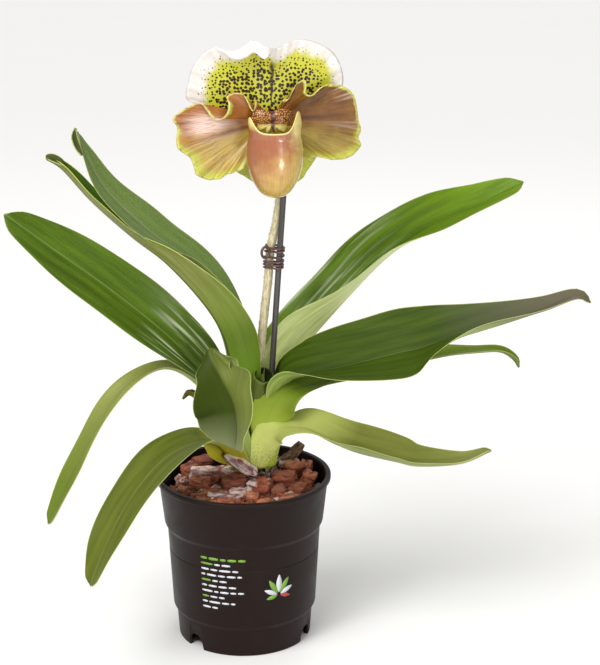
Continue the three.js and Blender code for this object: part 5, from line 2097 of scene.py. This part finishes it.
    def dress(self) -> None:
        """Makes the bed, its chips and the stub of old wood."""
        source = random.Random(self.seed)
        finish = PineBark("pine_bark").build()
        chips = [self.chip(place, source, 6) for place in self.large]
        chips += [self.chip(place, source, 3) for place in self.loose(source)]
        add_piece("bark_chips", joined("bark_chips", chips), finish, "bark_mix")
        profile = [(0.5, 20.0), (46.0, 20.0), (self.radius - 3, 82.0), (self.radius, 90.0)]
        for radius in [self.radius * k / 8 for k in range(8, 0, -1)]:
            profile.append((radius, self.height(radius) - self.below))
        rings = []
        for radius, height in profile + [(0.5, self.middle - self.below)]:
            ring = []
            for k in range(72):
                x, y = polar(5 * k, radius)
                ring.append(Vector((x, y, height + noise.noise(Vector((x, y, 0)) * 0.2) * 2)))
            rings.append(ring)
        bed = Loft(rings).mesh("bark_bed")
        mark(bed, "grain", [vertex.co / MM for vertex in bed.vertices])
        mark(bed, "chip", [Vector((0, 0, 0))] * len(bed.vertices))
        # A darker copy of the bark finish for the bed: painted shade in the gaps between the chips.
        gap_shade = PineBark(
            "painted_shade_between_chips", rust="3c2218", pale="4a2c1e", umber="170e0a", crust="5a4438", violet="3a2a26"
        )
        add_piece("bark_bed", bed, gap_shade.build(), "bark_mix")

        def weathered(angle: float, share: float) -> float:
            """Deep furrows that twist along the stub, and fine ones between them."""
            return 1 + 0.22 * math.sin(3 * angle + 7 * share) + 0.12 * math.sin(8 * angle + 15 * share)

        stub = tube(self.stub, 24, 30, weathered)
        furrowed = {"across": 1.0, "along": 4, "relief": 1.0}
        wood = Rind("old_wood", light="8a6c50", dark="36231a", roughness=0.85, **furrowed)
        add_piece("wood_stub", stub.mesh("wood_stub"), wood.build(), "bark_mix")


@dataclass(frozen=True)
class Crown:
    """Rhizome knob under the leaves, ringed with dry root fibres."""

    x: float = 7.0
    y: float = 9.0
    top: float = 117.2
    radius: float = 14.0
    neck: float = 12.0
    bottom: float = 92.0
    fibres: int = 130
    fibre: float = 0.55
    seed: int = 31

    def threads(self) -> Mesh:
        """Dry fibres that stand and lie round the leaf bases."""
        source = random.Random(self.seed)
        made = []
        for _ in range(self.fibres):
            turn = source.uniform(0, 360)
            near, far = source.uniform(0.75, 1.0) * self.radius, source.uniform(0.85, 1.3) * self.radius
            rise = source.uniform(-2, 6.5)
            stations = []
            for share, width in ((0, 1.0), (0.5, 0.8), (1, 0.25)):
                x, y = polar(turn + share * source.uniform(-25, 25), mix(near, far, share))
                height = self.top - 2.5 + rise * share + 1.5 * math.sin(math.pi * share)
                stations.append((self.x + x, self.y + y, height, self.fibre * width))
            made.append(tube(stations, 5, 6).mesh("thread"))
        return joined("crown_fibres", made)

    def dress(self) -> None:
        """Makes the knob and its fibres."""
        stations = [
            (self.x, self.y, self.bottom, self.neck / 2),
            (self.x, self.y, self.bottom + 9, self.neck),
            (self.x, self.y, self.top - 9, self.neck),
            (self.x, self.y, self.top - 2, self.radius),
            (self.x, self.y, self.top, self.radius - 1),
        ]
        knob = tube(stations, 64, 40, lambda angle, share: 1 + 0.03 * math.sin(7 * angle + 9 * share))
        lumpy = {"across": 2.5, "along": 2.5, "relief": 0.8}
        rind = Rind("rhizome_rind", light="7a5a48", dark="34221e", roughness=0.7, **lumpy)
        add_piece("crown_knob", knob.mesh("crown_knob"), rind.build(), "crown")
        dry = Rind("root_fibre", light="c6acb0", dark="4c3230", across=1.0, along=6, roughness=0.85)
        add_piece("crown_fibres", self.threads(), dry.build(), "crown")


# ---------------------------------------------------------------- studio


class Light(Enum):
    """Soft lights: kind, place in metres, size in metres or degrees, and power."""

    SKY = ("SUN", (-0.7, -0.9, 1.6), 40.0, 1.85)
    KEY = ("AREA", (-0.8, -1.0, 1.2), 0.5, 7.5)
    FILL = ("AREA", (0.6, -1.5, 0.3), 0.42, 6.0)
    BACK = ("AREA", (0.3, 1.0, 1.1), 0.7, 2.5)


@dataclass(frozen=True)
class Studio:
    """Camera, soft lights and pale floor."""

    camera_place: Place = (0.0, -1.2, 0.5807)
    camera_pitch: float = 16.758
    camera_yaw: float = 1.878
    lens: float = 99.68
    sensor: float = 36.0
    aim: Place = (0.02, 0.0, 0.2)
    world_strength: float = 0.58
    floor: float = 6.0

    def dress(self) -> None:
        """Makes the camera, the lights and the floor."""
        data = bpy.data.cameras.new("camera")
        data.sensor_fit = "VERTICAL"
        data.sensor_height = self.sensor
        data.sensor_width = self.sensor
        data.lens = self.lens
        camera = placed("camera", data)
        camera.location = self.camera_place
        camera.rotation_euler = (math.radians(90 - self.camera_pitch), 0, math.radians(-self.camera_yaw))
        bpy.context.scene.camera = camera
        for light in Light:
            self.lamp(light)
        bpy.context.scene.view_settings.view_transform = "Standard"
        world = bpy.data.worlds.new("studio")
        world.use_nodes = True
        background = world.node_tree.nodes["Background"]
        background.inputs[0].default_value = (1, 1, 1, 1)
        background.inputs[1].default_value = self.world_strength
        bpy.context.scene.world = world
        paper = bpy.data.meshes.new("floor")
        corners = [(x * self.floor, y * self.floor, 0) for x, y in ((-1, -1), (1, -1), (1, 1), (-1, 1))]
        paper.from_pydata(corners, [], [(0, 1, 2, 3)])
        paper.materials.append(Paint("floor_paper").build())
        floor = placed("floor", paper)

    def lamp(self, light: Light) -> None:
        """Makes one soft light that points at the plant."""
        kind, place, size, power = light.value
        data = bpy.data.lights.new(light.name.lower(), kind)
        if kind == "SUN":
            data.angle = math.radians(size)
        else:
            data.shape = "DISK"
            data.size = size
        data.energy = power
        lamp = placed(light.name.lower(), data)
        lamp.location = place
        aim = Vector(self.aim) - Vector(place)
        lamp.rotation_euler = aim.to_track_quat("-Z", "Y").to_euler()


def main() -> None:
    """Builds the scene, piece by piece."""
    logging.basicConfig(level=logging.INFO, format="%(message)s")
    Studio().dress()
    Pot().dress()
    Print().dress()
    Bed().dress()
    Crown().dress()
    for leaf in LEAVES:
        leaf.dress()
    scape = Scape()
    scape.dress()
    Support().dress(scape.route)
    for tepal in TEPALS:
        tepal.dress()
    Pouch().dress()
    SHIELD.dress()


if __name__ == "__main__":
    main()
